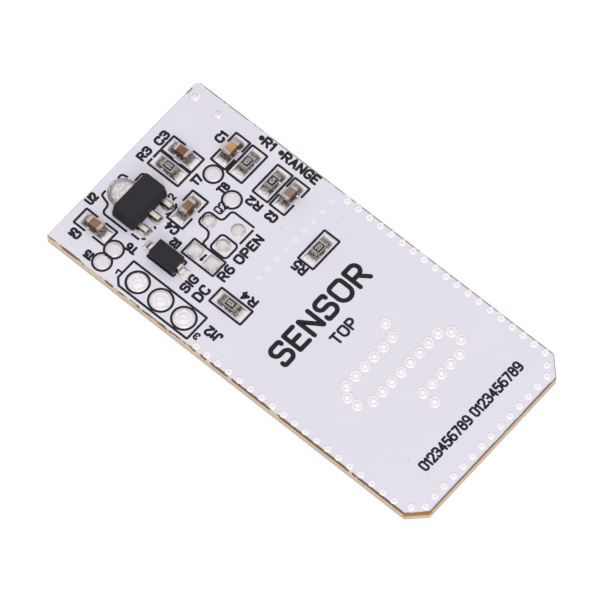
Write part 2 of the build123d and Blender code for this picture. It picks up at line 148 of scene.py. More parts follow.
def millimetres(tree, scale=(1.0, 1.0, 1.0)):
    """The surface's own place in millimetres, stretched by scale."""
    place = add_node(tree, "TexCoord", {})
    stretched = tuple(s / MM for s in scale)
    return add_node(tree, "Mapping", {"Vector": place.outputs["Object"], "Scale": stretched})


def start_material(name):
    """A new finish, its tree and its shader."""
    material = bpy.data.materials.new(name)
    material.use_nodes = True
    return material, material.node_tree, material.node_tree.nodes["Principled BSDF"]


def levelness(tree):
    """How level the surface is: nothing on an upright face and one on a flat one."""
    surface = add_node(tree, "NewGeometry", {})
    facing = add_node(tree, "SeparateXYZ", {0: surface.outputs["Normal"]})
    return add_node(tree, "Math", {0: facing.outputs["Z"]}, operation="ABSOLUTE")


mask_white = "DEDBE6"
mask_shade = "D9D6E2"
laminate_tan = "D9C5AC"
laminate_low = "C6B6A8"
scorched = "75593A"

# White solder mask on FR4 laminate: a faint orange peel breaks the gloss, tan layered edges
board_finish, tree, shader = start_material("white solder mask on FR4 laminate")
place = millimetres(tree)
axes = add_node(tree, "SeparateXYZ", {0: place})
lengthwise, crosswise = axes.outputs["X"], axes.outputs["Y"]
beside = add_node(tree, "Math", {0: crosswise}, operation="ABSOLUTE")
to_side = add_node(tree, "Math", {0: board_width / 2, 1: beside}, operation="SUBTRACT")
to_aerial_end = add_node(tree, "Math", {0: board_length / 2, 1: lengthwise}, operation="SUBTRACT")
to_chip_end = add_node(tree, "Math", {0: board_length / 2, 1: lengthwise}, operation="ADD")
diagonal = add_node(tree, "Math", {0: lengthwise, 1: beside}, operation="ADD")
past_crop = add_node(
    tree, "Math", {0: (board_length + board_width) / 2 - corner_crop, 1: diagonal}, operation="SUBTRACT"
)
to_crop = add_node(tree, "Math", {0: past_crop, 1: math.sqrt(0.5)}, operation="MULTIPLY")
to_edge = to_side
for other in (to_crop, to_aerial_end, to_chip_end):
    to_edge = add_node(tree, "Math", {0: to_edge, 1: other}, operation="MINIMUM")

# how far the mask stands back from the arris: most along the header edge and the aerial end, in bowed lengths
wander = add_node(tree, "TexNoise", {"Vector": place, "Scale": 0.9, "Detail": 3.0, "Roughness": 0.6})
header_side = add_node(tree, "Math", {0: crosswise, 1: 0.0}, operation="LESS_THAN")
aerial_side = add_node(tree, "Math", {0: lengthwise, 1: board_length / 2 - 1.65}, operation="GREATER_THAN")
strong_side = add_node(tree, "Math", {0: header_side, 1: aerial_side}, operation="MAXIMUM")
full_width = add_node(tree, "MapRange", {0: strong_side, 3: 0.1, 4: 0.07})
fence_start = 16.25 - board_length / 2
fenced = add_node(tree, "MapRange", {0: lengthwise, 1: fence_start - 0.2, 2: fence_start + 0.2, 3: 0.45, 4: 0.3})
far_side = add_node(tree, "Math", {0: 1.0, 1: strong_side}, operation="SUBTRACT")
onset = add_node(tree, "Math", {0: far_side, 1: -0.1, 2: fenced}, operation="MULTIPLY_ADD")
full = add_node(tree, "Math", {0: onset, 1: 0.14}, operation="ADD")
open_lengths = add_node(tree, "MapRange", {0: wander, 1: onset, 2: full})
bare_width = add_node(tree, "Math", {0: full_width, 1: open_lengths}, operation="MULTIPLY")
for middle, half in ((16.6, 0.3), (17.75, 0.25), (24.9, 0.4), (33.2, 0.2)):
    from_gap = add_node(tree, "Math", {0: lengthwise, 1: middle - board_length / 2}, operation="SUBTRACT")
    away = add_node(tree, "Math", {0: from_gap}, operation="ABSOLUTE")
    outside = add_node(tree, "MapRange", {0: away, 1: half - 0.1, 2: half + 0.1})
    bare_width = add_node(tree, "Math", {0: bare_width, 1: outside}, operation="MULTIPLY")
end_share = add_node(tree, "MapRange", {0: to_chip_end, 1: 0.2, 2: 0.4, 3: 0.3, 4: 1.0})
bare_width = add_node(tree, "Math", {0: bare_width, 1: end_share}, operation="MULTIPLY")
stub_y = 17.93 - board_width / 2
from_stub = add_node(tree, "Math", {0: crosswise, 1: stub_y}, operation="SUBTRACT")
stub_reach = add_node(tree, "Math", {0: from_stub}, operation="ABSOLUTE")
stub_depth = add_node(
    tree, "MapRange", {0: stub_reach, 1: 0.28, 2: 0.42, 3: 0.13, 4: 0.0}, interpolation_type="SMOOTHSTEP"
)
on_stub = add_node(tree, "Math", {0: to_chip_end, 1: stub_depth}, operation="LESS_THAN")
routed = add_node(tree, "Math", {0: to_edge, 1: bare_width}, operation="LESS_THAN")
bare_top = add_node(tree, "Math", {0: routed, 1: on_stub}, operation="MAXIMUM")
flat_face = add_node(tree, "Math", {0: levelness(tree), 1: 0.5}, operation="GREATER_THAN")

# the cut edge: layers of glass cloth 0.2 mm thick, browner towards the top arris
cloth = {"Vector": place, "Scale": 0.8, "Distortion": 1.2, "Detail": 2.0, "Detail Scale": 1.5}
layer = add_node(tree, "TexWave", cloth, bands_direction="Z")
streak = add_node(tree, "TexNoise", {"Vector": millimetres(tree, (1.0, 1.0, 0.15)), "Scale": 5.0, "Detail": 3.0})
rise = add_node(tree, "MapRange", {0: axes.outputs["Z"], 1: board_bottom, 2: board_top})
cut_colour = add_node(tree, "ValToRGB", {0: rise})
ramp = cut_colour.color_ramp
ramp.elements[0].position = 0.15
ramp.elements[0].color = linear(laminate_low)
ramp.elements[1].position = 0.55
ramp.elements[1].color = linear(laminate_tan)
for share, texture in ((0.12, layer), (0.35, streak)):
    cut_colour = add_node(
        tree,
        "Mix",
        {0: share, 6: cut_colour, 7: texture.outputs["Color"]},
        data_type="RGBA",
        blend_type="SOFT_LIGHT",
    )
crop_side = add_node(tree, "Math", {0: aerial_side, 1: header_side}, operation="MULTIPLY")
on_crop = add_node(tree, "Math", {0: to_crop, 1: 0.2}, operation="LESS_THAN")
crop_cut = add_node(tree, "Math", {0: crop_side, 1: on_crop}, operation="MULTIPLY")
# the routed line's brown differs at the aerial end, along the far edge, at the stub and on the crop
scorch_colour = linear(scorched)
for where, brown in ((aerial_side, "8A7258"), (far_side, "8A806A"), (on_stub, "8C6536"), (crop_cut, "A4713F")):
    scorch_colour = add_node(tree, "Mix", {0: where, 6: scorch_colour, 7: linear(brown)}, data_type="RGBA")
scorch_depth = add_node(tree, "MapRange", {0: bare_width, 1: 0.0, 2: 0.05, 3: 1.0, 4: 0.66})
scorch_line = add_node(tree, "Math", {0: crop_cut, 1: -0.2, 2: scorch_depth}, operation="MULTIPLY_ADD")
scorch_here = add_node(tree, "Math", {0: rise, 1: scorch_line}, operation="GREATER_THAN")
edge_colour = add_node(tree, "Mix", {0: scorch_here, 6: cut_colour, 7: scorch_colour}, data_type="RGBA")

# the mask: slow drifts of tone and a few stray specks under it
drift = add_node(tree, "TexNoise", {"Vector": place, "Scale": 0.22, "Detail": 4.0, "Roughness": 0.55})
mask_colour = add_node(tree, "Mix", {0: drift, 6: linear(mask_white), 7: linear(mask_shade)}, data_type="RGBA")
specks = ((14.4, 13.15, 0.14), (17.5, 16.6, 0.12), (19.35, 15.7, 0.11), (36.2, 3.85, 0.16), (38.3, 3.9, 0.12))
for x, y, reach in specks:
    middle = (x - board_length / 2, y - board_width / 2, board_top)
    away = add_node(tree, "VectorMath", {0: place, 1: middle}, operation="DISTANCE")
    faint = add_node(
        tree, "MapRange", {0: away, 1: 0.3 * reach, 2: reach, 3: 0.5, 4: 0.0}, interpolation_type="SMOOTHSTEP"
    )
    mask_colour = add_node(tree, "Mix", {0: faint, 6: mask_colour, 7: linear("B9B2BC")}, data_type="RGBA")
top_colour = add_node(tree, "Mix", {0: bare_top, 6: mask_colour, 7: scorch_colour}, data_type="RGBA")
whole_colour = add_node(tree, "Mix", {0: flat_face, 6: edge_colour, 7: top_colour}, data_type="RGBA")
covered = add_node(tree, "Math", {0: flat_face, 1: bare_top}, operation="SUBTRACT")
gloss = add_node(tree, "MapRange", {0: covered, 3: 0.85, 4: 0.42})
# orange peel about 0.3 mm across
peel = add_node(tree, "TexNoise", {"Vector": place, "Scale": 3.2, "Detail": 2.0})
relief = add_node(tree, "Bump", {"Height": peel, "Strength": 0.25, "Distance": 0.01 * MM})
feed(shader, {"Base Color": whole_colour, "Roughness": gloss, "Normal": relief})
board_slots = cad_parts["circuit_board"].data.materials
board_slots.clear()
board_slots.append(board_finish)

# The printed outlines: black epoxy ink screened onto the mask in lines 0.21 mm wide, round the parts' places. The
# ink stands about two hundredths proud and its ends are round, as the screen leaves them.
line_width = 0.21
ink_height = 0.018
small_bend = 0.06


def bent_path(points):
    """The line through points, each corner rounded by its own radius, which may stand third in a point."""
    path = [Vector(points[0][:2])]
    for before, corner, after in zip(points, points[1:], points[2:]):
        radius = corner[2] if len(corner) > 2 else small_bend
        here = Vector(corner[:2])
        to_before = Vector(before[:2]) - here
        to_after = Vector(after[:2]) - here
        turn = math.pi - to_before.angle(to_after)
        if turn < 0.02:
            path.append(here)
            continue
        reach = min(radius * math.tan(turn / 2), 0.499 * to_before.length, 0.499 * to_after.length)
        start = here + reach * to_before.normalized()
        end = here + reach * to_after.normalized()
        weight = math.cos(turn / 2)
        steps = max(2, round(turn / math.radians(18)))
        for k in range(steps + 1):
            t = k / steps
            share = ((1 - t) ** 2, 2 * t * (1 - t) * weight, t * t)
            path.append((share[0] * start + share[1] * here + share[2] * end) / sum(share))
    path.append(Vector(points[-1][:2]))
    return path


def add_stroke(curve, points, width):
    """A line of ink along points, in millimetres; a line that ends where it starts is a closed one."""
    closed = points[0][:2] == points[-1][:2]
    path = bent_path(points)
    if closed:
        path = path[:-1]
    thick = [1.0] * len(path)
    if not closed:
        first, last = path[0], path[-1]
        ahead = (first - path[1]).normalized() * width / 2
        beyond = (last - path[-2]).normalized() * width / 2
        for angle in (30, 60, 85):
            sine, cosine = math.sin(math.radians(angle)), math.cos(math.radians(angle))
            path.insert(0, first + sine * ahead)
            path.append(last + sine * beyond)
            thick.insert(0, cosine)
            thick.append(cosine)
    spline = curve.splines.new("POLY")
    spline.points.add(len(path) - 1)
    for point, place, share in zip(spline.points, path, thick):
        point.co = (place.x, place.y, 0.0, 1.0)
        point.radius = share * width / 2
    spline.use_cyclic_u = closed


def start_strokes(name):
    """An empty drawing for lines of ink."""
    curve = bpy.data.curves.new(name, "CURVE")
    curve.dimensions = "3D"
    curve.bevel_depth = 1.0
    curve.bevel_resolution = 2
    curve.use_fill_caps = True
    return curve


def hold(pieces):
    """Selects these and nothing else, with the first one active."""
    bpy.ops.object.select_all(action="DESELECT")
    for piece in pieces:
        piece.select_set(True)
    bpy.context.view_layer.objects.active = pieces[0]


def finish_piece(piece, name, material, nodes=()):
    """Names a finished piece, gives it its one material, hangs it on the root body and hides the nodes that it stands
    for.
    """
    piece.name = name
    piece.data.name = name
    piece.data.materials.clear()
    piece.data.materials.append(material)
    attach(piece, "root")
    if nodes:
        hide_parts(*nodes)
    return piece


def print_strokes(curve, name, material, height, face=1):
    """Turns lines drawn in board millimetres into ink of that thickness, flat on a face at that height."""
    piece = bpy.data.objects.new(name, curve)
    scene.collection.objects.link(piece)
    hold([piece])
    bpy.ops.object.convert(target="MESH")
    flat = Matrix.Diagonal((MM, MM, ink_height * MM / line_width, 1.0))
    middle = at(0.0, 0.0, height) + Vector((0.0, 0.0, face * 0.5 * ink_height * MM))
    piece.data.transform(Matrix.Translation(middle) @ flat)
    bpy.ops.object.shade_smooth()
    return finish_piece(piece, name, material)


def ring(x, y, radius):
    """A closed round line."""
    turns = [2 * math.pi * k / 24 for k in range(24)]
    points = [(x + radius * math.cos(t), y + radius * math.sin(t), 0.2) for t in turns]
    return points + [points[0]]


def box(x0, x1, y0, y1):
    """A closed line round a rectangle."""
    middle = (x0 + x1) / 2
    return [(middle, y0), (x1, y0), (x1, y1), (x0, y1), (x0, y0), (middle, y0)]


def split_box(x0, x1, y0, y1, gap0, gap1, tall):
    """The two halves of a rectangle whose long sides are open between gap0 and gap1."""
    if tall:
        return [[(x0, gap0), (x0, y0), (x1, y0), (x1, gap0)], [(x0, gap1), (x0, y1), (x1, y1), (x1, gap1)]]
    return [[(gap0, y0), (x0, y0), (x0, y1), (gap0, y1)], [(gap1, y0), (x1, y0), (x1, y1), (gap1, y1)]]


def mottled(name, first, second, per_mm, roughness, relief=None, specular=0.5):
    """A surface of two close tones in spots, so many to the millimetre; its roughness and relief follow them."""
    material, tree, shader = start_material(name)
    spots = add_node(tree, "TexNoise", {"Vector": millimetres(tree), "Scale": per_mm, "Detail": 2.0})
    tone = add_node(tree, "Mix", {0: spots, 6: linear(first), 7: linear(second)}, data_type="RGBA")
    matt = add_node(tree, "MapRange", {0: spots, 3: roughness[0], 4: roughness[1]})
    feed(shader, {"Base Color": tone, "Roughness": matt, "Specular IOR Level": specular})
    if relief:
        swell = add_node(tree, "Bump", {"Height": spots, "Strength": relief[0], "Distance": relief[1] * MM})
        feed(shader, {"Normal": swell})
    return material


# Screened epoxy ink: near black with a faint violet cast, matt, mottled by the weave of the screen
ink_finish = mottled("black epoxy screen ink", "17151A", "201D24", 9.0, (0.5, 0.65), specular=0.25)

outline_curve = start_strokes("outlines")
outlines = [
    box(7.45, 9.1, 14.2, 17.5),
    box(10.25, 11.9, 14.25, 17.5),
    box(14.2, 17.6, 4.2, 5.8),
    box(17.2, 18.85, 12.0, 15.4),
    box(9.5, 12.95, 6.1, 7.75),
    [(1.9, 11.3), (1.9, 12.1), (5.25, 12.1), (5.25, 10.5), (1.9, 10.5), (1.9, 11.0)],
    # round the unused transistor place, and the box of its lower land
    [
        (12.55, 11.75), (10.2, 11.75, 0.35), (10.2, 10.45, 0.4), (8.65, 10.45, 0.45), (8.65, 9.05, 0.45),
        (10.0, 9.05, 0.5), (10.3, 8.5, 0.4), (10.3, 7.85, 0.3), (10.7, 7.8),
    ],
    [(12.7, 9.9), (12.7, 11.45)],
    [(11.85, 7.95), (12.75, 7.95, 0.35), (12.75, 9.6, 0.35), (10.95, 9.6, 0.35), (10.95, 7.95, 0.35), (11.85, 7.95)],
    # a dark mark in the break between the unused resistor's lands, drawn in the same ink
    [(11.24, 7.2), (11.2, 6.85), (11.28, 6.6), (11.14, 6.58), (11.2, 6.85)],
    # round the regulator's tab and between its leads
    [(0.95, 7.9), (0.95, 8.3, 0.25), (1.45, 8.42)],
    [(2.2, 8.62), (2.2, 9.45, 0.2), (2.5, 9.6)],
    [(0.95, 6.2), (0.95, 5.75, 0.25), (1.5, 5.6), (2.0, 5.45, 0.4), (2.1, 4.55, 0.35), (4.75, 4.55)],
    [(6.25, 9.15), (6.45, 8.95), (6.4, 8.05), (6.25, 7.95)],
    [(6.3, 6.4), (6.38, 6.35)],
    [(6.1, 6.02), (6.35, 5.9)],
    [(6.25, 4.9), (6.4, 5.02)],
    [(5.3, 4.66), (6.0, 4.66)],
    # beside the diode
    [(7.6, 4.25), (7.6, 3.95), (10.45, 3.95), (10.45, 4.25)],
    [(7.6, 5.4), (7.6, 5.65), (10.45, 5.65), (10.45, 5.4)],
    # round the header's three holes, one corner cut at the first pin
    [(11.0, 0.35), (15.1, 0.35), (15.1, 2.88), (7.05, 2.88), (7.05, 0.9), (7.6, 0.35), (11.0, 0.35)],
    # the ink that ran together between two boxes
    [(7.33, 14.32), (7.33, 15.38)],
]
for sides in (
    (5.65, 7.2, 14.25, 17.5, 15.42, 16.48, True), (12.15, 13.75, 14.25, 17.5, 15.42, 16.48, True),
    (1.9, 5.25, 12.2, 13.85, 3.15, 4.1, False), (6.45, 8.15, 7.75, 11.05, 8.95, 9.85, True),
    (0.85, 4.25, 2.35, 4.0, 2.05, 3.0, False),
):
    outlines += split_box(*sides)
probe_places = [(5.1, 1.1), (5.1, 2.6), (9.5, 12.5), (6.75, 13.3)]
outlines += [ring(x, y, 0.83) for x, y in probe_places]
header_x, header_y = 8.6, 1.6
header_pitch = 2.54
outlines += [ring(header_x + header_pitch * pin, header_y + 0.01, (1.01, 1.06, 1.06)[pin]) for pin in range(3)]
for outline in outlines:
    add_stroke(outline_curve, outline, line_width)
print_strokes(outline_curve, "printed_outlines", ink_finish, board_top)

# The lettering: the same ink in plain stroke letters, as a board's layout program draws them. It is numbers,
# designators numbered afresh and general words, and it reads along the board, up it or upside down as it suits.
STROKES = {
    "0": (4.0, [[(2, 6), (4, 6, 2), (4, 0, 2), (0, 0, 2), (0, 6, 2), (2, 6)]]),
    "1": (1.6, [[(0, 4.6), (1.3, 6, 0.2), (1.3, 0)]]),
    "2": (4.0, [[(0, 4.7), (0, 6, 1.8), (4, 6, 1.9), (4, 3.6, 1.8), (0, 0, 0.1), (4, 0)]]),
    "3": (4.0, [
        [(0.1, 5.1), (0.1, 6, 1.4), (3.9, 6, 1.6), (3.9, 3.2, 1.4), (1.6, 3.2)],
        [(3.0, 3.2), (4, 3.2, 1.3), (4, 0, 1.7), (0, 0, 1.5), (0, 1.1)],
    ]),
    "4": (4.0, [[(3, 0), (3, 6, 0.1), (0, 1.8, 0.1), (4, 1.8)]]),
    "5": (4.0, [[(3.7, 6), (0.5, 6, 0.1), (0.2, 3.4, 0.1), (4, 3.8, 1.6), (4, 0, 1.8), (0, 0, 1.6), (0, 0.9)]]),
    "6": (4.0, [[(3.6, 6), (0, 6, 3.2), (0, 0, 1.9), (4, 0, 1.8), (4, 3.6, 1.8), (0, 3.6, 1.7), (0, 2.0)]]),
    "7": (4.0, [[(0, 6), (4, 6, 0.2), (1.4, 0)]]),
    "8": (4.0, [
        [(2, 3.2), (0.3, 3.2, 1.3), (0.3, 6, 1.4), (3.7, 6, 1.4), (3.7, 3.2, 1.3), (2, 3.2)],
        [(2, 3.2), (4, 3.2, 1.5), (4, 0, 1.6), (0, 0, 1.6), (0, 3.2, 1.5), (2, 3.2)],
    ]),
    "9": (4.0, [[(0.4, 0), (4, 0, 3.2), (4, 6, 1.9), (0, 6, 1.8), (0, 2.4, 1.8), (4, 2.4, 1.7), (4, 4.0)]]),
    "A": (4.0, [[(0, 0), (2, 6, 0.1), (4, 0)], [(0.7, 2), (3.3, 2)]]),
    "C": (4.0, [[(4, 4.7), (4, 6, 1.8), (0, 6, 1.9), (0, 0, 1.9), (4, 0, 1.8), (4, 1.3)]]),
    "D": (4.0, [[(0, 3), (0, 6, 0.1), (4, 6, 2), (4, 0, 2), (0, 0, 0.1), (0, 3)]]),
    "E": (3.6, [[(3.6, 6), (0, 6, 0.1), (0, 0, 0.1), (3.6, 0)], [(0, 3.1), (3, 3.1)]]),
    "G": (4.0, [[(4, 4.8), (4, 6, 1.8), (0, 6, 1.9), (0, 0, 1.9), (4, 0, 1.9), (4, 2.7, 0.1), (2.4, 2.7)]]),
    "I": (0.0, [[(0, 0), (0, 6)]]),
    "J": (3.2, [[(3.2, 6), (3.2, 0, 1.6), (0, 0, 1.6), (0, 1.4)]]),
    "N": (4.0, [[(0, 0), (0, 6, 0.1), (4, 0, 0.1), (4, 6)]]),
    "O": (4.4, [[(2.2, 6), (4.4, 6, 2.2), (4.4, 0, 2.2), (0, 0, 2.2), (0, 6, 2.2), (2.2, 6)]]),
    "P": (4.0, [[(0, 0), (0, 6, 0.1), (4, 6, 1.6), (4, 2.6, 1.6), (0, 2.6)]]),
    "Q": (4.4, [
        [(2.2, 6), (4.4, 6, 2.2), (4.4, 0, 2.2), (0, 0, 2.2), (0, 6, 2.2), (2.2, 6)], [(2.6, 1.6), (4.4, 0)],
    ]),
    "R": (4.0, [[(0, 0), (0, 6, 0.1), (4, 6, 1.6), (4, 2.8, 1.6), (0, 2.8)], [(2, 2.8), (4, 0)]]),
    "S": (4.0, [
        [(4, 5.0), (4, 6, 1.5), (0, 6, 1.6), (0, 3.1, 1.4), (4, 3.1, 1.4), (4, 0, 1.6), (0, 0, 1.5), (0, 1.0)],
    ]),
    "T": (4.0, [[(0, 6), (4, 6)], [(2, 6), (2, 0)]]),
    "U": (4.0, [[(0, 6), (0, 0, 1.9), (4, 0, 1.9), (4, 6)]]),
    "*": (1.8, [[(0.9, 4), (1.8, 4, 0.9), (1.8, 2, 0.9), (0, 2, 0.9), (0, 4, 0.9), (0.9, 4)]]),
    " ": (1.2, []),
}
letter_line = 0.235
letter_gap = 1.9
cap_height = 6.0


def write(curve, text, x0, x1, y0, y1, turn, width=letter_line):
    """Plain stroke letters that fill a rectangle of the board, read along X (0), up Y (90) or back along X (180)."""
    across, along = (y1 - y0, x1 - x0) if turn != 90 else (x1 - x0, y1 - y0)
    wanted = sum(STROKES[letter][0] for letter in text) + letter_gap * (len(text) - 1)
    wide = (along - width) / wanted
    tall = (across - width) / cap_height
    half = width / 2
    corner = {0: (x0 + half, y0 + half), 90: (x1 - half, y0 + half), 180: (x1 - half, y1 - half)}[turn]
    onward = {0: (1, 0), 90: (0, 1), 180: (-1, 0)}[turn]
    upward = {0: (0, 1), 90: (-1, 0), 180: (0, -1)}[turn]
    passed = 0.0
    for letter in text:
        letter_width, strokes = STROKES[letter]
        for stroke in strokes:
            placed = []
            for point in stroke:
                u = (passed + point[0]) * wide
                v = point[1] * tall
                x = corner[0] + u * onward[0] + v * upward[0]
                y = corner[1] + u * onward[1] + v * upward[1]
                bend = point[2] * min(wide, tall) if len(point) > 2 else small_bend
                placed.append((round(x, 5), round(y, 5), bend))
            add_stroke(curve, placed, width)
        passed += letter_width + letter_gap


lettering = [
    ("C3", 0.8, 1.7, 12.3, 13.8, 90),
    ("R3", 0.65, 1.55, 10.3, 11.7, 90),
    ("C1", 4.5, 5.4, 15.8, 16.95, 90),
    ("*R1 *RANGE", 7.35, 13.9, 18.0, 19.0, 0),
    ("R2", 10.35, 11.9, 13.0, 13.9, 180),
    ("C2", 12.45, 13.6, 13.0, 13.9, 180),
    ("T7", 5.6, 6.5, 11.5, 12.5, 90),
    ("T8", 7.8, 8.7, 12.3, 13.4, 90),
    ("Q2", 8.85, 9.75, 10.75, 11.9, 90, 0.17),
    ("U2", 0.1, 1.0, 4.4, 5.5, 90),
    ("C4", 6.8, 8.1, 6.8, 7.7, 180),
    ("D2", 8.1, 9.05, 5.95, 6.8, 180),
    ("T6", 5.6, 6.7, 3.2, 4.05, 180),
    ("T5", 3.4, 4.3, 0.45, 1.3, 180),
    ("C5", 1.1, 2.2, 1.2, 2.05, 180),
    ("SIG", 11.45, 12.4, 3.4, 5.2, 90),
    ("DC", 12.75, 13.8, 3.5, 5.05, 90),
    ("R6 OPEN", 13.1, 14.1, 6.25, 11.5, 90),
    ("1", 6.5, 7.0, 1.0, 1.6, 90, 0.17),
    ("3", 15.3, 15.8, 0.7, 1.4, 180, 0.17),
    ("2", 5.15, 5.9, 9.2, 9.7, 90, 0.17),
    ("R4", 15.8, 17.45, 6.0, 6.9, 180),
    ("J12", 15.7, 17.3, 1.6, 2.6, 180),
    ("R5", 17.2, 18.6, 10.9, 11.9, 180),
    ("SENSOR", 20.8, 23.1, 3.6, 14.85, 90, 0.42),
    ("TOP", 23.9, 25.05, 8.0, 10.7, 90, 0.23),
    ("0123456789 0123456789", 36.95, 38.0, 4.0, 16.6, 90, 0.21),
]
lettering_curve = start_strokes("lettering")
for words in lettering:
    write(lettering_curve, *words)
print_strokes(lettering_curve, "printed_lettering", ink_finish, board_top)

# Plated holes: copper tubes drilled and plated through the board, with a round land on each face, all tinned. The
# three large ones take a header's pins or wires and are open right through; the two small ones take the legs of
# a light sensor.
def turned(section, steps):
    """A solid of revolution about the upright axis, in millimetres, drawn as radius and height and then spun.

    A section that starts on the axis ends on it too, and one that starts off it is closed.
    """
    bpy.ops.object.select_all(action="DESELECT")
    bpy.ops.mesh.primitive_plane_add(size=0.01)
    shape = bpy.context.object
    bpy.ops.object.mode_set(mode="EDIT")
    bpy.ops.mesh.select_mode(type="VERT")
    bpy.ops.mesh.select_all(action="SELECT")
    bpy.ops.mesh.merge(type="CENTER")
    bpy.ops.transform.translate(value=(section[0][0], 0.0, section[0][1]))
    points = section + section[:1] if section[0][0] else section
    for before, after in zip(points, points[1:]):
        step = (after[0] - before[0], 0.0, after[1] - before[1])
        bpy.ops.mesh.extrude_region_move(TRANSFORM_OT_translate={"value": step})
    bpy.ops.mesh.select_all(action="SELECT")
    bpy.ops.mesh.remove_doubles(threshold=0.0005)
    bpy.ops.mesh.spin(steps=steps, angle=2 * math.pi, center=(0.0, 0.0, 0.0), axis=(0.0, 0.0, 1.0))
    bpy.ops.mesh.select_all(action="SELECT")
    bpy.ops.mesh.remove_doubles(threshold=0.0005)
    bpy.ops.mesh.normals_make_consistent(inside=False)
    bpy.ops.object.mode_set(mode="OBJECT")
    bpy.ops.object.shade_smooth_by_angle(angle=math.radians(40))
    return shape


def seat(x, y, turn=0.0, height=board_top, up=1):
    """Where a part drawn at the origin goes: on the board's top, or with up=-1 hung under it."""
    over = Matrix.Identity(4) if up > 0 else Matrix.Rotation(math.pi, 4, "X")
    spun = Matrix.Rotation(math.radians(turn), 4, "Z")
    return Matrix.Translation(at(x, y, height)) @ spun @ over @ Matrix.Scale(MM, 4)


def under_seat(x, y, turn=0.0):
    """Where a part hung under the board goes."""
    return seat(x, y, turn, board_bottom, -1)


def put(shape, seats):
    """Copies of a shape, each with a mesh of its own at its seat, joined into one piece."""
    copies = []
    for place in seats:
        copy = bpy.data.objects.new("copy", shape.data.copy())
        scene.collection.objects.link(copy)
        copy.data.transform(place)
        copies.append(copy)
    bpy.data.objects.remove(shape)
    hold(copies)
    if len(copies) > 1:
        bpy.ops.object.join()
    return copies[0]


def metal(name, pale, dark, grain, rough, relief_depth, low="8C8278", film="6F6358"):
    """A tinned or soldered surface: patches of two tones, with a roughness that follows them and a slight swell.

    Upright faces turn to the colour low, a painted shade; a brown film of flux and painted shade lies where the mesh
    says.
    """
    material, tree, shader = start_material(name)
    place = millimetres(tree)
    patches = add_node(tree, "TexNoise", {"Vector": place, "Scale": 1.0 / grain, "Detail": 3.0})
    tone = add_node(tree, "Mix", {0: patches, 6: linear(dark), 7: linear(pale)}, data_type="RGBA")
    # painted shade: steep and upright faces turn towards the colour low
    steep = add_node(tree, "MapRange", {0: levelness(tree), 1: 0.75, 2: 0.2, 3: 0.0, 4: 0.85})
    painted_upright_shade = add_node(tree, "Mix", {0: steep, 6: tone, 7: linear(low)}, data_type="RGBA")
    # the brown film kept in the mesh, partly flux and partly painted shade
    dark_film = add_node(tree, "Attribute", {}, attribute_name="dark_film")
    blot = add_node(tree, "TexNoise", {"Vector": place, "Scale": 4.5, "Detail": 2.0})
    broken = add_node(tree, "MapRange", {0: blot, 1: 0.35, 2: 0.58, 3: 0.25, 4: 1.0})
    filmed = add_node(tree, "Math", {0: dark_film.outputs["Fac"], 1: broken}, operation="MULTIPLY")
    whole = add_node(tree, "Mix", {0: filmed, 6: painted_upright_shade, 7: linear(film)}, data_type="RGBA")
    dull = add_node(tree, "MapRange", {0: patches, 1: 0.3, 2: 0.7, 3: rough[0], 4: rough[1]})
    relief = add_node(tree, "Bump", {"Height": patches, "Strength": 0.5, "Distance": relief_depth * MM})
    feed(shader, {"Base Color": whole, "Roughness": dull, "Normal": relief, "Metallic": 1.0})
    return material


# Hot-air levelled tin: nearly white, softly mirroring, patches 0.6 mm across
tin_finish = metal("levelled tin on copper", "FAF6F9", "F1ECF0", 0.6, (0.3, 0.4), 0.003, "FBF9FA")

land_thickness = 0.05
barrel_wall = 0.05
board_thickness = board_top - board_bottom


def plated_hole(face, steps):
    """A tinned tube through the board with a land on each face, from its section at the top as far as its outside."""
    return turned(face + [(radius, -board_thickness - height) for radius, height in reversed(face)], steps)


def round_land(bore, land):
    """The section of a hole's rounded mouth and its land at the board's top."""
    return [
        (bore, -0.02), (bore + 0.03, 0.04), (bore + 0.1, land_thickness), (land - 0.1, land_thickness),
        (land - 0.03, 0.035), (land, 0.0), (bore + barrel_wall, 0.0),
    ]


header_bore, header_land = 0.5, 0.89
# Thin tin: bright in the bore, and dulled on the land where it was wiped thin
thin_tin_finish = metal("thin tin on lands", "FCF8FB", "F6F0F5", 0.4, (0.35, 0.5), 0.004, "FEFDFE", "CDC4CE")


def film_round(shape, thickness):
    """Keeps in a turned shape's mesh its film of wear, flux and painted shade, as thickness gives it for a distance
    from the axis.
    """
    film = shape.data.attributes.new("dark_film", "FLOAT", "POINT")
    for vertex in shape.data.vertices:
        film.data[vertex.index].value = thickness(math.hypot(vertex.co.x, vertex.co.y))
    return shape


header_hole = plated_hole(round_land(header_bore, header_land), 64)
header_hole = film_round(header_hole, lambda out: 0.6 if 0.54 < out < 1.0 else 0.0)
header_holes = put(header_hole, [seat(header_x + header_pitch * pin, header_y) for pin in range(3)])
finish_piece(header_holes, "header_holes", thin_tin_finish, ["header_plated_holes"])

sensor_x, sensor_y = 0.75, 17.9
sensor_bore, sensor_land = 0.3, 0.5
sensor_hole = plated_hole(round_land(sensor_bore, sensor_land), 48)
sensor_hole = film_round(sensor_hole, lambda out: 0.8 if 0.42 < out < 1.0 else 0.0)
sensor_holes = put(sensor_hole, [seat(sensor_x + header_pitch * leg, sensor_y) for leg in range(2)])
finish_piece(sensor_holes, "sensor_holes", thin_tin_finish, ["sensor_plated_holes"])

# The fence: a row of small plated holes along both edges and the end of the aerial, which keeps the signal in the
# board. Each is a drilled hole with a tinned ring.
fence_pitch = 1.195


def along(start, stop, pitch):
    """Places from start to stop, one pitch apart."""
    return [start + pitch * step for step in range(int((stop - start) / pitch + 1e-6) + 1)]


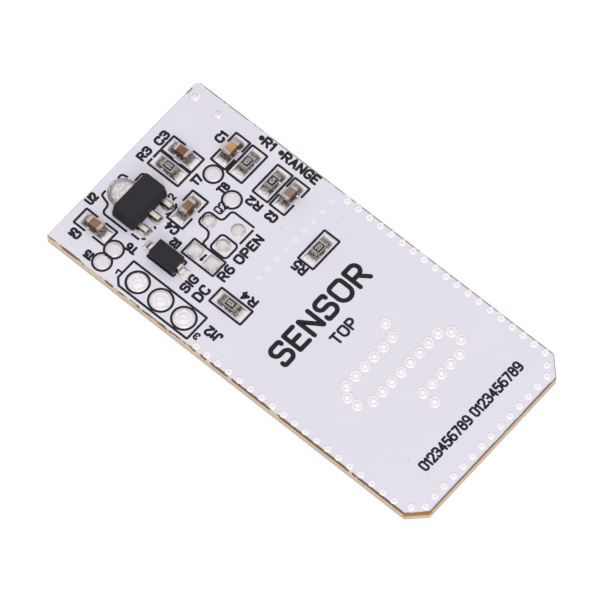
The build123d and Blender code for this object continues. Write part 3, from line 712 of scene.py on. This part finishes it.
fence_near, fence_far, fence_end = 0.35, 18.75, 39.88
fence_places = [(x, fence_near) for x in along(16.1, board_length - 2.8, fence_pitch)]
fence_places += [(x, fence_far) for x in along(16.85, board_length - 2.1, fence_pitch)]
fence_places += [(fence_end, y) for y in along(1.65, board_width - 1.5, fence_pitch)]
fence_places += [(39.05, 0.85), (39.2, 17.95)]
fence_mouth = [(0.125, 0.0), (0.155, 0.042), (0.19, land_thickness), (0.26, 0.046), (0.335, 0.0), (0.145, 0.0)]
fence_hole = plated_hole(fence_mouth, 24)
fence = put(fence_hole, [seat(x, y) for x, y in fence_places])
finish_piece(fence, "fence_holes", tin_finish, ["fence_rings"])

# The divider: nine holes between the parts and the aerial, plated and filled before the white mask was screened
# over them, so that each is a low bump.
# The board's white mask and its orange peel, a shade paler where it lies thick
bump_finish = mottled("white solder mask over filled holes", mask_white, "EAE7EF", 3.2, (0.4, 0.4), (0.25, 0.01))
bump = turned(
    [(0.0, 0.004), (0.09, 0.01), (0.15, 0.026), (0.2, 0.03), (0.25, 0.02), (0.285, 0.0), (0.0, 0.0)], 24
)
divider_x, divider_pitch = 15.95, 1.165
bumps = put(bump, [seat(divider_x, y) for y in along(8.5, board_width - 1.25, divider_pitch)])
finish_piece(bumps, "divider_filled_holes", bump_finish, ["divider_bumps"])

# The mask in the fence's holes: as it was screened on, it sagged into each and closed it at both faces with a
# shallow dish.
plug_reach = 0.16
dish = turned([(0.0, 0.012), (0.07, 0.018), (0.12, 0.032), (plug_reach, 0.046), (plug_reach, -0.1), (0.0, -0.1)], 24)
plugs = put(dish, [place(x, y) for place in (seat, under_seat) for x, y in fence_places])
finish_piece(plugs, "fence_mask_plugs", bump_finish)

# The aerial: a line of solder-filled holes that winds through three lanes. Solder wets each land and stands up in
# a button over the hole.
aerial_step = 1.175
lane_pitch = 2.605
first_lane, first_top = board_length - 12.63, 11.6
second_lane, second_foot = first_lane + lane_pitch, 6.1
third_lane, third_top = second_lane + lane_pitch, 14.05
turn_reach = 1.15
turn_low = second_foot - turn_reach
turn_high = second_foot + 7 * aerial_step + turn_reach / 1.4
turn_half = 0.54
tail = 1.27
aerial_places = [(first_lane - tail, first_top + aerial_step / 2)]
aerial_places += [(first_lane, first_top - aerial_step * k) for k in range(6)]
aerial_places += [(first_lane + lane_pitch / 2 + side * turn_half, turn_low) for side in (-1, 1)]
aerial_places += [(second_lane, second_foot + aerial_step * k) for k in range(8)]
aerial_places += [(second_lane + lane_pitch / 2 + side * turn_half, turn_high) for side in (-1, 1)]
aerial_places += [(third_lane, third_top - aerial_step * k) for k in range(5)]
aerial_places += [(third_lane + tail, third_top - 4 * aerial_step)]
stud_top = land_thickness + 0.04
stud = turned(
    [
        (0.0, stud_top), (0.1, stud_top - 0.004), (0.17, stud_top - 0.022), (0.225, 0.045), (0.275, 0.022),
        (0.34, 0.042), (0.4, 0.052), (0.46, 0.046), (0.51, 0.026), (0.54, 0.0), (0.0, 0.0),
    ],
    32,
)
stud = film_round(stud, lambda out: 0.35 if 0.2 < out < 0.5 else 0.0)
studs = put(stud, [seat(x, y) for x, y in aerial_places])
finish_piece(studs, "aerial_filled_holes", thin_tin_finish, ["aerial_studs"])

# Test pads: bare round lands of copper for a probe to touch, levelled with tin in the same bath as the other lands
# and a little duller than they are.
pad_finish = metal("dull levelled tin", "F6EDF3", "D2C7CF", 0.5, (0.4, 0.55), 0.006)
pad = turned([(0.0, 0.05), (0.5, 0.048), (0.61, 0.035), (0.65, 0.0), (0.0, 0.0)], 48)
pads = put(pad, [seat(x, y) for x, y in probe_places])
finish_piece(pads, "probe_pads", pad_finish, ["test_pads"])

# Places left empty: three lands for a transistor and two for a resistor, each with the solder that the wave left
# on it, which drew up into a cushion.
# Bright solder: pale and mirroring, with greyer patches half a millimetre across
# its steep slopes are painted greyer as shade, and its brown film by the parts is flux and painted shade
solder_finish = metal("bright solder", "F7F1F3", "E0D7DB", 0.5, (0.24, 0.38), 0.01, "CFC6C4", "6A5C50")
# Aged solder on the empty lands: grey and pale patches half a millimetre across
# its steep slopes and its brown film are painted shade, greyer and browner down the cushions' sides
aged_solder_finish = metal("aged solder", "FFFAFB", "AFA2A5", 0.5, (0.2, 0.34), 0.016, "B8ADAB", "857A76")
cushion = turned(
    [(0.0, 0.16), (0.12, 0.157), (0.25, 0.144), (0.38, 0.118), (0.5, 0.076), (0.59, 0.034), (0.65, 0.0), (0.0, 0.0)],
    48,
)
# painted shade: a brown ring on the cushion's slope
cushion = film_round(cushion, lambda out: 0.45 * max(0.0, 1.0 - abs(out - 0.52) / 0.26))
spare_near, spare_far = 9.4, 11.77
drawn_out = Matrix.Diagonal((1.06, 0.97, 1.0, 1.0))
cushions = put(cushion, [seat(spare_near, 9.75), seat(spare_far, 8.8) @ drawn_out, seat(spare_far, 10.7)])
finish_piece(cushions, "spare_transistor_solder", aged_solder_finish, ["spare_transistor_lands"])


def close_below(sheet, drop):
    """Walls and a flat floor under an open sheet, in millimetres, with all of its faces turned outwards."""
    bpy.ops.object.mode_set(mode="EDIT")
    bpy.ops.mesh.select_all(action="SELECT")
    bpy.ops.mesh.remove_doubles(threshold=0.0002)
    bpy.ops.mesh.select_all(action="DESELECT")
    bpy.ops.mesh.select_mode(type="EDGE")
    bpy.ops.mesh.select_non_manifold()
    bpy.ops.mesh.extrude_region_move(TRANSFORM_OT_translate={"value": (0.0, 0.0, -drop)})
    bpy.ops.mesh.edge_face_add()
    bpy.ops.transform.resize(value=(1.0, 1.0, 0.0))
    bpy.ops.mesh.select_all(action="SELECT")
    bpy.ops.mesh.normals_make_consistent(inside=False)
    bpy.ops.object.mode_set(mode="OBJECT")
    if max(sheet.data.polygons, key=lambda face: face.center.z).normal.z < 0.0:
        bpy.ops.object.mode_set(mode="EDIT")
        bpy.ops.mesh.flip_normals()
        bpy.ops.object.mode_set(mode="OBJECT")
    bpy.ops.object.shade_smooth_by_angle(angle=math.radians(60))
    return sheet


def start_sheet(columns, rows):
    """A square sheet of so many cells about the origin, and the brown film of flux and painted shade that its mesh is
    to keep.
    """
    bpy.ops.object.select_all(action="DESELECT")
    bpy.ops.mesh.primitive_grid_add(x_subdivisions=columns, y_subdivisions=rows, size=2.0)
    sheet = bpy.context.object
    return sheet, sheet.data.attributes.new("dark_film", "FLOAT", "POINT")


def pillow(half, height, corner):
    """Solder drawn up on a square land, in millimetres: highest in the middle, with a brown film towards its rim that
    is painted shade on its slopes.
    """
    shape, film = start_sheet(18, 18)
    for vertex in shape.data.vertices:
        u, v = vertex.co.x, vertex.co.y
        lift = (1.0 - abs(u) ** 2.4) * (1.0 - abs(v) ** 2.4)
        inner = Vector([max(corner - half, min(half - corner, half * share)) for share in (u, v)])
        away = Vector((half * u, half * v)) - inner
        if away.length > corner:
            away *= corner / away.length
        vertex.co = (*(inner + away), height * max(0.0, lift) ** 0.7)
        # painted shade: the film thickens down the slopes to the rim
        film.data[vertex.index].value = 0.5 * max(0.0, 1.0 - lift) ** 0.8
    return close_below(shape, 0.02)


def solder_on_land(land, foot, climb, reach, film, corner):
    """Solder on one land, in millimetres: a thin film that rises in a hollow curve against what stands on it.

    land and foot are each x0, x1 and half a width. The solder climbs the foot's outer end most, and the brown film
    kept in the mesh there is partly flux and partly painted shade against the foot.
    """
    x0, x1, half = land
    foot0, foot1, foot_half = foot
    slit = 0.004
    ends = [x0, x0 + 0.03, x0 + 0.09, x1 - 0.09, x1 - 0.03, x1, foot1 - slit, foot1 + slit, (x0 + foot1) / 2]
    ends += [foot1 + (x1 - foot1) * share for share in (0.1, 0.25, 0.45, 0.7)]
    sides = [half, half - 0.03, half - 0.09, foot_half - slit, foot_half + slit, foot_half / 2]
    sides += [foot_half + (half - foot_half) * share for share in (0.2, 0.45)]
    columns = sorted({round(place, 4) for place in ends})
    rows = sorted({round(place, 4) for place in [0.0] + sides + [-side for side in sides]})
    shape, dark_film = start_sheet(len(columns) - 1, len(rows) - 1)
    for vertex in shape.data.vertices:
        column = round((vertex.co.x + 1) / 2 * (len(columns) - 1))
        line = round((vertex.co.y + 1) / 2 * (len(rows) - 1))
        x, y = columns[column], rows[line]
        from_end = max(0.0, (x - foot1) / reach)
        from_side = max(0.0, (abs(y) - foot_half) / (half - foot_half))
        near = max(0.0, 1.0 - math.hypot(from_end, from_side))
        behind = 1.0 if x >= foot1 else max(0.35, 1.0 - 1.4 * (foot1 - x))
        rim = min(x - x0, x1 - x, half - abs(y))
        thin = film * min(1.0, max(0.0, rim / 0.07)) ** 0.5
        height = thin if x < foot0 else thin + climb * behind * near ** 2.3
        if x < foot1 and abs(y) < foot_half:
            height = land_thickness - 0.002
        # the brown film: flux, and painted shade where the solder meets the foot
        dark_film.data[vertex.index].value = min(1.0, 1.25 * near ** 1.2)
        inner_x = min(max(x, x0 + corner), x1 - corner)
        inner_y = min(max(y, corner - half), half - corner)
        away = Vector((x - inner_x, y - inner_y))
        if away.length > corner:
            away *= corner / away.length
        vertex.co = (inner_x + away.x, inner_y + away.y, max(0.0, height))
    return close_below(shape, 0.02)


link_x, link_y, link_half = 11.22, 6.92, 0.93
links = put(pillow(0.66, 0.12, 0.16), [seat(link_x + side * link_half, link_y) for side in (-1, 1)])
finish_piece(links, "spare_link_solder", aged_solder_finish, ["spare_resistor_lands"])

# Chip capacitors: a block of fired ceramic layers with a cup of plated tin at each end, 1.6 by 0.8 mm, soldered
# flat to two lands. The solder runs up the ends in a hollow curve.
# Matt tin plate: pale, its shine broken by a grain of about 0.2 mm
# its upright faces are painted darker as shade, and the brown film at its outer ends is flux and painted shade
chip_end_finish = metal("matt tin plate", "E8DFDB", "B0A49E", 0.22, (0.28, 0.44), 0.012, "85776D", "5A4A3C")


def ceramic(name, pale, dark, side):
    """Fired ceramic: satin, with a grain of about 0.1 mm and slow patches of tone; its upright sides take the side
    colour as painted shade.
    """
    material, tree, shader = start_material(name)
    place = millimetres(tree)
    grain = add_node(tree, "TexNoise", {"Vector": place, "Scale": 10.0, "Detail": 3.0})
    patches = add_node(tree, "TexNoise", {"Vector": place, "Scale": 1.6, "Detail": 2.0})
    both = add_node(tree, "Math", {0: grain, 1: patches}, operation="MULTIPLY")
    spread = add_node(tree, "MapRange", {0: both, 1: 0.12, 2: 0.4})
    tone = add_node(tree, "Mix", {0: spread, 6: linear(dark), 7: linear(pale)}, data_type="RGBA")
    steep = add_node(tree, "MapRange", {0: levelness(tree), 1: 0.8, 2: 0.3, 3: 0.0, 4: 0.9})
    shaded = add_node(tree, "Mix", {0: steep, 6: tone, 7: linear(side)}, data_type="RGBA")
    satin = add_node(tree, "MapRange", {0: grain, 3: 0.4, 4: 0.6})
    relief = add_node(tree, "Bump", {"Height": grain, "Strength": 0.3, "Distance": 0.01 * MM})
    feed(shader, {"Base Color": shaded, "Roughness": satin, "Normal": relief})
    return material


def stain_and_shade_ends(piece, seats):
    """Keeps in the mesh how near each point is to its chip's outer end, where the brown film of flux and painted
    shade is thickest.
    """
    film = piece.data.attributes.new("dark_film", "FLOAT", "POINT")
    chips = [(at(x, y), turn) for x, y, turn in seats]
    for vertex in piece.data.vertices:
        middle, turn = min(chips, key=lambda chip: (vertex.co.xy - chip[0].xy).length)
        away = (vertex.co - middle) / MM
        out = abs(away.x if turn == 0 else away.y)
        film.data[vertex.index].value = min(1.0, max(0.0, (out - 0.6) / 0.2))


# The makes differ in tone, from orange tan to a reddish and a greyer brown
# the last colour of each is the painted shade of its upright sides
orange_ceramic = ceramic("orange tan fired ceramic", "CC9C6C", "AE7E50", "5A4A26")
red_ceramic = ceramic("reddish brown fired ceramic", "8C5940", "684230", "2C251A")
grey_ceramic = ceramic("grey brown fired ceramic", "9A7E72", "82685C", "40342C")
brown_ceramic = ceramic("brown fired ceramic", "94704E", "76583C", "453422")


def rounded_copy(node, width, steps, upright=0.0):
    """A node's own mesh with its doubles merged, its flat faces made whole and its edges rounded, in millimetres.

    Its upright edges are rounded first, by a radius of their own, where upright says so.
    """
    shape = bpy.data.objects.new(node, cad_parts[node].data.copy())
    scene.collection.objects.link(shape)
    shape.data.transform(Matrix.Scale(1.0 / MM, 4))
    hold([shape])
    bpy.ops.object.mode_set(mode="EDIT")
    bpy.ops.mesh.select_all(action="SELECT")
    bpy.ops.mesh.remove_doubles(threshold=0.0005)
    bpy.ops.mesh.dissolve_limited(angle_limit=math.radians(0.6))
    bpy.ops.mesh.select_all(action="DESELECT")
    bpy.ops.object.mode_set(mode="OBJECT")
    if upright:
        points = [vertex.co.copy() for vertex in shape.data.vertices]
        low = Vector([min(point[axis] for point in points) for axis in range(2)])
        high = Vector([max(point[axis] for point in points) for axis in range(2)])
        for edge in shape.data.edges:
            first, last = (points[index] for index in edge.vertices)
            middle = (first + last).xy / 2
            to_corner = [min(middle[axis] - low[axis], high[axis] - middle[axis]) for axis in range(2)]
            edge.select = abs(last.z - first.z) > 0.7 * (last - first).length and max(to_corner) < upright
        bpy.ops.object.mode_set(mode="EDIT")
        bpy.ops.mesh.select_mode(type="EDGE")
        bpy.ops.mesh.bevel(offset=upright, segments=5, affect="EDGES")
        bpy.ops.object.mode_set(mode="OBJECT")
    rounding = shape.modifiers.new("rounding", "BEVEL")
    rounding.width = width
    rounding.segments = steps
    rounding.limit_method = "ANGLE"
    rounding.angle_limit = math.radians(30)
    bpy.ops.object.modifier_apply(modifier=rounding.name)
    bpy.ops.object.mode_set(mode="EDIT")
    bpy.ops.mesh.select_all(action="SELECT")
    bpy.ops.mesh.remove_doubles(threshold=0.0003)
    bpy.ops.mesh.dissolve_degenerate(threshold=0.0001)
    bpy.ops.object.mode_set(mode="OBJECT")
    bpy.ops.object.shade_smooth_by_angle(angle=math.radians(50))
    return shape


def dress(node, name, material, width, steps, upright=0.0, shaded=()):
    """The piece that stands for a node: its own shape, in its own place, with rounded edges and, for the chips given,
    ends darkened with flux and painted shade.
    """
    piece = put(rounded_copy(node, width, steps, upright), [Matrix.Scale(MM, 4)])
    if shaded:
        stain_and_shade_ends(piece, shaded)
    return finish_piece(piece, name, material, [node])


capacitor_seats = [(6.45, 15.88, 90), (12.95, 15.88, 90), (3.57, 13.02, 0), (7.3, 9.4, 90), (2.55, 3.17, 0)]
capacitor_ceramics = (orange_ceramic, grey_ceramic, red_ceramic, brown_ceramic, brown_ceramic)
for number, (fired, place) in enumerate(zip(capacitor_ceramics, capacitor_seats), 1):
    dress(f"capacitor_{number}_ceramic", f"capacitor_{number}_block", fired, 0.04, 3)
    dress(
        f"capacitor_{number}_ends", f"capacitor_{number}_cups", chip_end_finish, 0.075, 4,
        shaded=[place],
    )


def solder_chips(places, climb, reach, name, node, seated=seat):
    """The solder at both ends of chips that stand at these places, on lands of 1.25 by 1.15 mm."""
    fillet = solder_on_land((0.3, 1.55, 0.575), (0.44, 0.8, 0.4), climb, reach, 0.055, 0.12)
    fillets = put(fillet, [seated(x, y, turn + half) for x, y, turn in places for half in (0, 180)])
    finish_piece(fillets, name, solder_finish, [node])


solder_chips(capacitor_seats, 0.66, 0.62, "capacitor_fillets", "capacitor_solder")

# Flux left on the mask beside the chips when they were soldered, and the chips' shadow painted there with it: a brown
# film, thickest against the chip and gone within half a millimetre of it.
flux_and_shadow_finish, tree, shader = start_material("brown flux and painted shadow on white mask")
place = millimetres(tree)
blot = add_node(tree, "TexNoise", {"Vector": place, "Scale": 3.5, "Detail": 3.0})
dark_film = add_node(tree, "Attribute", {}, attribute_name="dark_film")
patchy = add_node(tree, "MapRange", {0: blot, 1: 0.3, 2: 0.65, 3: 0.5, 4: 1.5})
thick = add_node(tree, "Math", {0: dark_film.outputs["Fac"], 1: patchy}, operation="MULTIPLY")
# the brown of flux and painted shadow
tone = add_node(tree, "Mix", {0: thick, 6: linear(mask_white), 7: linear("4E4230")}, data_type="RGBA")
feed(shader, {"Base Color": tone, "Roughness": 0.75, "Specular IOR Level": 0.25})


def flux_and_shadow_film(half_along, half_across, chip_half):
    """A thin film of flux and painted shadow under and beside a chip's middle, in millimetres; it thins to nothing at
    its long rims.
    """
    shape, film = start_sheet(8, 24)
    for vertex in shape.data.vertices:
        x, y = vertex.co.x * half_along, vertex.co.y * half_across
        fade = min(1.0, max(0.0, (half_across - abs(y)) / (half_across - chip_half)))
        vertex.co = (x, y, 0.002 + 0.02 * fade)
        film.data[vertex.index].value = fade ** 1.3
    return close_below(shape, 0.01)


flux_and_shadow_films = put(flux_and_shadow_film(0.42, 0.74, 0.42), [seat(*place) for place in capacitor_seats])
finish_piece(flux_and_shadow_films, "capacitor_flux_and_shadow", flux_and_shadow_finish)

# Chip resistors: a slab of white alumina with a resistive film under dark glaze on top, and tin plated ends that
# wrap over and under it. The value is printed on the glaze in white.
# Alumina: chalky white, its upright sides painted darker as shade
alumina_finish = ceramic("white alumina", "DCD6D0", "C8C0B8", "6A6058")

# Overglaze: near black, smooth and glossy, with a slow swell
glaze_finish = mottled("black overglaze", "121115", "1F1D22", 2.5, (0.25, 0.4), (0.3, 0.02))

# Tin plate on the resistors: greyer than on the capacitors, for it is thinner over its nickel
# its upright faces are painted darker as shade, and the brown film at its outer ends is flux and painted shade
wrap_finish = metal("thin tin plate", "C9C0BC", "877C78", 0.2, (0.3, 0.46), 0.012, "665A52", "5A4A3C")

resistor_seats = [(8.28, 15.88, 90), (11.07, 15.88, 90), (3.57, 11.3, 0), (15.9, 5.0, 0), (18.03, 13.7, 90)]
for number, place in enumerate(resistor_seats, 1):
    dress(f"resistor_{number}_slab", f"resistor_{number}_alumina", alumina_finish, 0.02, 2)
    dress(f"resistor_{number}_ends", f"resistor_{number}_wraps", wrap_finish, 0.025, 2, shaded=[place])
dress("resistor_covers", "resistor_glazes", glaze_finish, 0.03, 3)
solder_chips(resistor_seats, 0.4, 0.6, "resistor_fillets", "resistor_solder")
# the same film of flux and painted shadow beside the resistors
flux_and_shadow_films = put(flux_and_shadow_film(0.42, 0.66, 0.42), [seat(*place) for place in resistor_seats])
finish_piece(flux_and_shadow_films, "resistor_flux_and_shadow", flux_and_shadow_finish)

# White printed values: chalky and slightly uneven
print_finish = mottled("white value ink", "C8C6CC", "E6E4E9", 14.0, (0.6, 0.6))
glaze_height = 0.53
value_curve = start_strokes("values")
value_wide = 0.62
value_tall = 0.38
for value, (x, y, turn) in zip(("103", "104", "222", "103", "222"), resistor_seats):
    half_x, half_y = (value_tall / 2, value_wide / 2) if turn else (value_wide / 2, value_tall / 2)
    write(value_curve, value, x - half_x, x + half_x, y - half_y, y + half_y, turn or 180, 0.055)
print_strokes(value_curve, "resistor_values", print_finish, board_top + glaze_height)

# The voltage regulator: an epoxy body moulded round a flat lead frame, whose broad tab is sunk in a mound of solder
# at one side and whose three leads lie on lands at the other.

# Moulding epoxy: dark grey, matt, fine grit of the mould about 0.05 mm, drawn at 0.12 mm so that it shows
epoxy_finish, tree, shader = start_material("moulded epoxy")
place = millimetres(tree)
grit = add_node(tree, "TexNoise", {"Vector": place, "Scale": 8.0, "Detail": 3.0, "Roughness": 0.7})
drift = add_node(tree, "TexNoise", {"Vector": place, "Scale": 0.7, "Detail": 2.0})
fleck = add_node(tree, "Mix", {0: grit, 6: linear("131014"), 7: linear("2D282F")}, data_type="RGBA")
tone = add_node(tree, "Mix", {0: drift, 6: fleck, 7: linear("231F26")}, data_type="RGBA")
matt = add_node(tree, "MapRange", {0: grit, 3: 0.5, 4: 0.7})
relief = add_node(tree, "Bump", {"Height": grit, "Strength": 0.35, "Distance": 0.015 * MM})
feed(shader, {"Base Color": tone, "Roughness": matt, "Normal": relief, "Specular IOR Level": 0.28})

# Tinned lead frame: warm pale tin; its upright faces are brown grey, as cut edges and painted shade
lead_finish = metal("tinned lead frame", "EAE1D6", "CDC2B6", 0.35, (0.28, 0.42), 0.008, "5E544C")

regulator_x, regulator_y = 4.0, 7.1
regulator_pitch = 1.5
tab_reach = 1.8
dress("regulator_body", "regulator_moulding", epoxy_finish, 0.08, 4, 0.32)
dress("regulator_paddle", "regulator_tab", lead_finish, 0.06, 3)
dress("regulator_leads", "regulator_outer_leads", lead_finish, 0.06, 3)

lead_land = solder_on_land((1.15, 2.45, 0.5), (1.25, 2.2, 0.22), 0.3, 0.25, 0.06, 0.45)
lead_lands = put(lead_land, [seat(regulator_x, regulator_y + side * regulator_pitch) for side in (-1, 0, 1)])
mound = turned(
    [
        (0.0, 0.54), (0.3, 0.532), (0.6, 0.51), (0.8, 0.475), (0.95, 0.41), (1.1, 0.31), (1.22, 0.19),
        (1.32, 0.08), (1.38, 0.0), (0.0, 0.0),
    ],
    64,
)
bpy.ops.object.mode_set(mode="EDIT")
bpy.ops.mesh.select_all(action="SELECT")
bpy.ops.mesh.bisect(plane_co=(tab_reach - 1.25, 0.0, 0.0), plane_no=(1.0, 0.0, 0.0), use_fill=True, clear_outer=True)
bpy.ops.object.mode_set(mode="OBJECT")
# a brown film over the mound: flux, thicker on its steep slope near the rim as painted shade
mound = film_round(mound, lambda out: 0.38 + 0.35 * max(0.0, 1.0 - abs(out - 1.15) / 0.3))
mounds = put(mound, [seat(regulator_x - tab_reach, regulator_y)])
hold([lead_lands, mounds])
bpy.ops.object.join()
finish_piece(lead_lands, "regulator_fillets", solder_finish, ["regulator_solder"])

# The diode: an epoxy body moulded round one flat tinned lead at each end. The leads are bent down and soldered to
# their lands.
diode_x, diode_y = 9.05, 4.75
dress("diode_body", "diode_moulding", epoxy_finish, 0.07, 3)
# Bright tin: fresh from the bath, its upright faces as pale as its flats
bright_lead_finish = metal("bright tinned lead", "F4EFEA", "DAD3CC", 0.3, (0.25, 0.38), 0.006, "E6E1DC")
dress("diode_leads", "diode_bent_leads", bright_lead_finish, 0.03, 2)
diode_land = solder_on_land((1.245, 2.345, 0.5), (1.55, 1.875, 0.3), 0.16, 0.45, 0.06, 0.12)
for film in diode_land.data.attributes["dark_film"].data:
    film.value *= 0.35
diode_solder = put(diode_land, [seat(diode_x, diode_y, turn) for turn in (0, 180)])
finish_piece(diode_solder, "diode_fillets", solder_finish, ["diode_solder"])

# Under the board: the controller, an epoxy body with sixteen tinned leads bent down to their lands and a dimple by
# the first. It hangs from its solder, with its face down.
controller_x, controller_y = 9.2, 10.4
controller_pitch = 1.27
dress("controller_body", "controller_moulding", epoxy_finish, 0.06, 3)
dress("controller_leads", "controller_bent_leads", lead_finish, 0.03, 2)


def solder_leads(fillet, middle, leads, name, node):
    """Solder under the leads of a package: its middle, and each lead's side and its slide along that side."""
    seats = [
        under_seat(*middle) @ Matrix.Rotation(math.radians(side), 4, "Z") @ Matrix.Translation((0.0, slide, 0.0))
        for side, slide in leads
    ]
    finish_piece(put(fillet, seats), name, solder_finish, [node])


controller_fillet = solder_on_land((2.0, 3.4, 0.3), (2.4, 3.0, 0.2), 0.16, 0.38, 0.05, 0.08)
controller_pins = [(side, (pin - 3.5) * controller_pitch) for side in (90, 270) for pin in range(8)]
solder_leads(
    controller_fillet, (controller_x, controller_y, 90), controller_pins, "controller_fillets", "controller_solder"
)

# Under the aerial's near end: the high-frequency transistor that drives it, an epoxy body with three tinned leads,
# bent and soldered as the controller's are.
transistor_x, transistor_y = 20.0, 9.6
transistor_pitch = 0.95
dress("transistor_body", "transistor_moulding", epoxy_finish, 0.05, 3)
dress("transistor_leads", "transistor_bent_leads", lead_finish, 0.02, 2)
transistor_fillet = solder_on_land((0.6, 1.5, 0.35), (0.9, 1.2, 0.2), 0.12, 0.28, 0.05, 0.08)
transistor_pins = [(90, 0.0), (270, -transistor_pitch), (270, transistor_pitch)]
solder_leads(
    transistor_fillet, (transistor_x, transistor_y, 0), transistor_pins, "transistor_fillets", "transistor_solder"
)

# The chip parts on the underside: capacitors and resistors of the same sizes and makes as those on the top, on the
# same lands and with the same solder.
under_capacitors = [(2.6, 3.2, 0), (2.6, 7.2, 0), (2.6, 11.2, 0), (14.0, 6.0, 90), (14.0, 14.0, 90), (23.4, 9.6, 90)]
under_resistors = [
    (2.6, 5.2, 0), (2.6, 9.2, 0), (2.6, 13.2, 0), (2.6, 15.2, 0), (14.0, 10.0, 90), (20.0, 4.2, 0), (20.0, 6.2, 0),
    (20.0, 13.0, 0),
]
dress("under_capacitor_ceramics", "under_capacitor_blocks", brown_ceramic, 0.04, 2)
dress(
    "under_capacitor_ends", "under_capacitor_cups", chip_end_finish, 0.035, 2, shaded=under_capacitors
)
dress("under_resistor_slabs", "under_resistor_alumina", alumina_finish, 0.02, 2)
dress("under_resistor_ends", "under_resistor_wraps", wrap_finish, 0.025, 2, shaded=under_resistors)
dress("under_resistor_covers", "under_resistor_glazes", glaze_finish, 0.03, 2)
solder_chips(under_capacitors, 0.5, 0.6, "under_capacitor_fillets", "under_capacitor_solder", under_seat)
solder_chips(under_resistors, 0.36, 0.6, "under_resistor_fillets", "under_resistor_solder", under_seat)

# The outlines on the underside, round the chip parts and the controller: the same black ink as on the top, screened
# onto the mask of that face.
chip_frame = (3.36, 1.6)
under_curve = start_strokes("under outlines")
for x, y, turn in under_capacitors + under_resistors:
    half_x, half_y = (side / 2 for side in (reversed(chip_frame) if turn else chip_frame))
    add_stroke(under_curve, box(x - half_x, x + half_x, y - half_y, y + half_y), line_width)
add_stroke(under_curve, box(7.5, 10.9, 5.2, 15.6), line_width)
print_strokes(under_curve, "under_printed_outlines", ink_finish, board_bottom, -1)
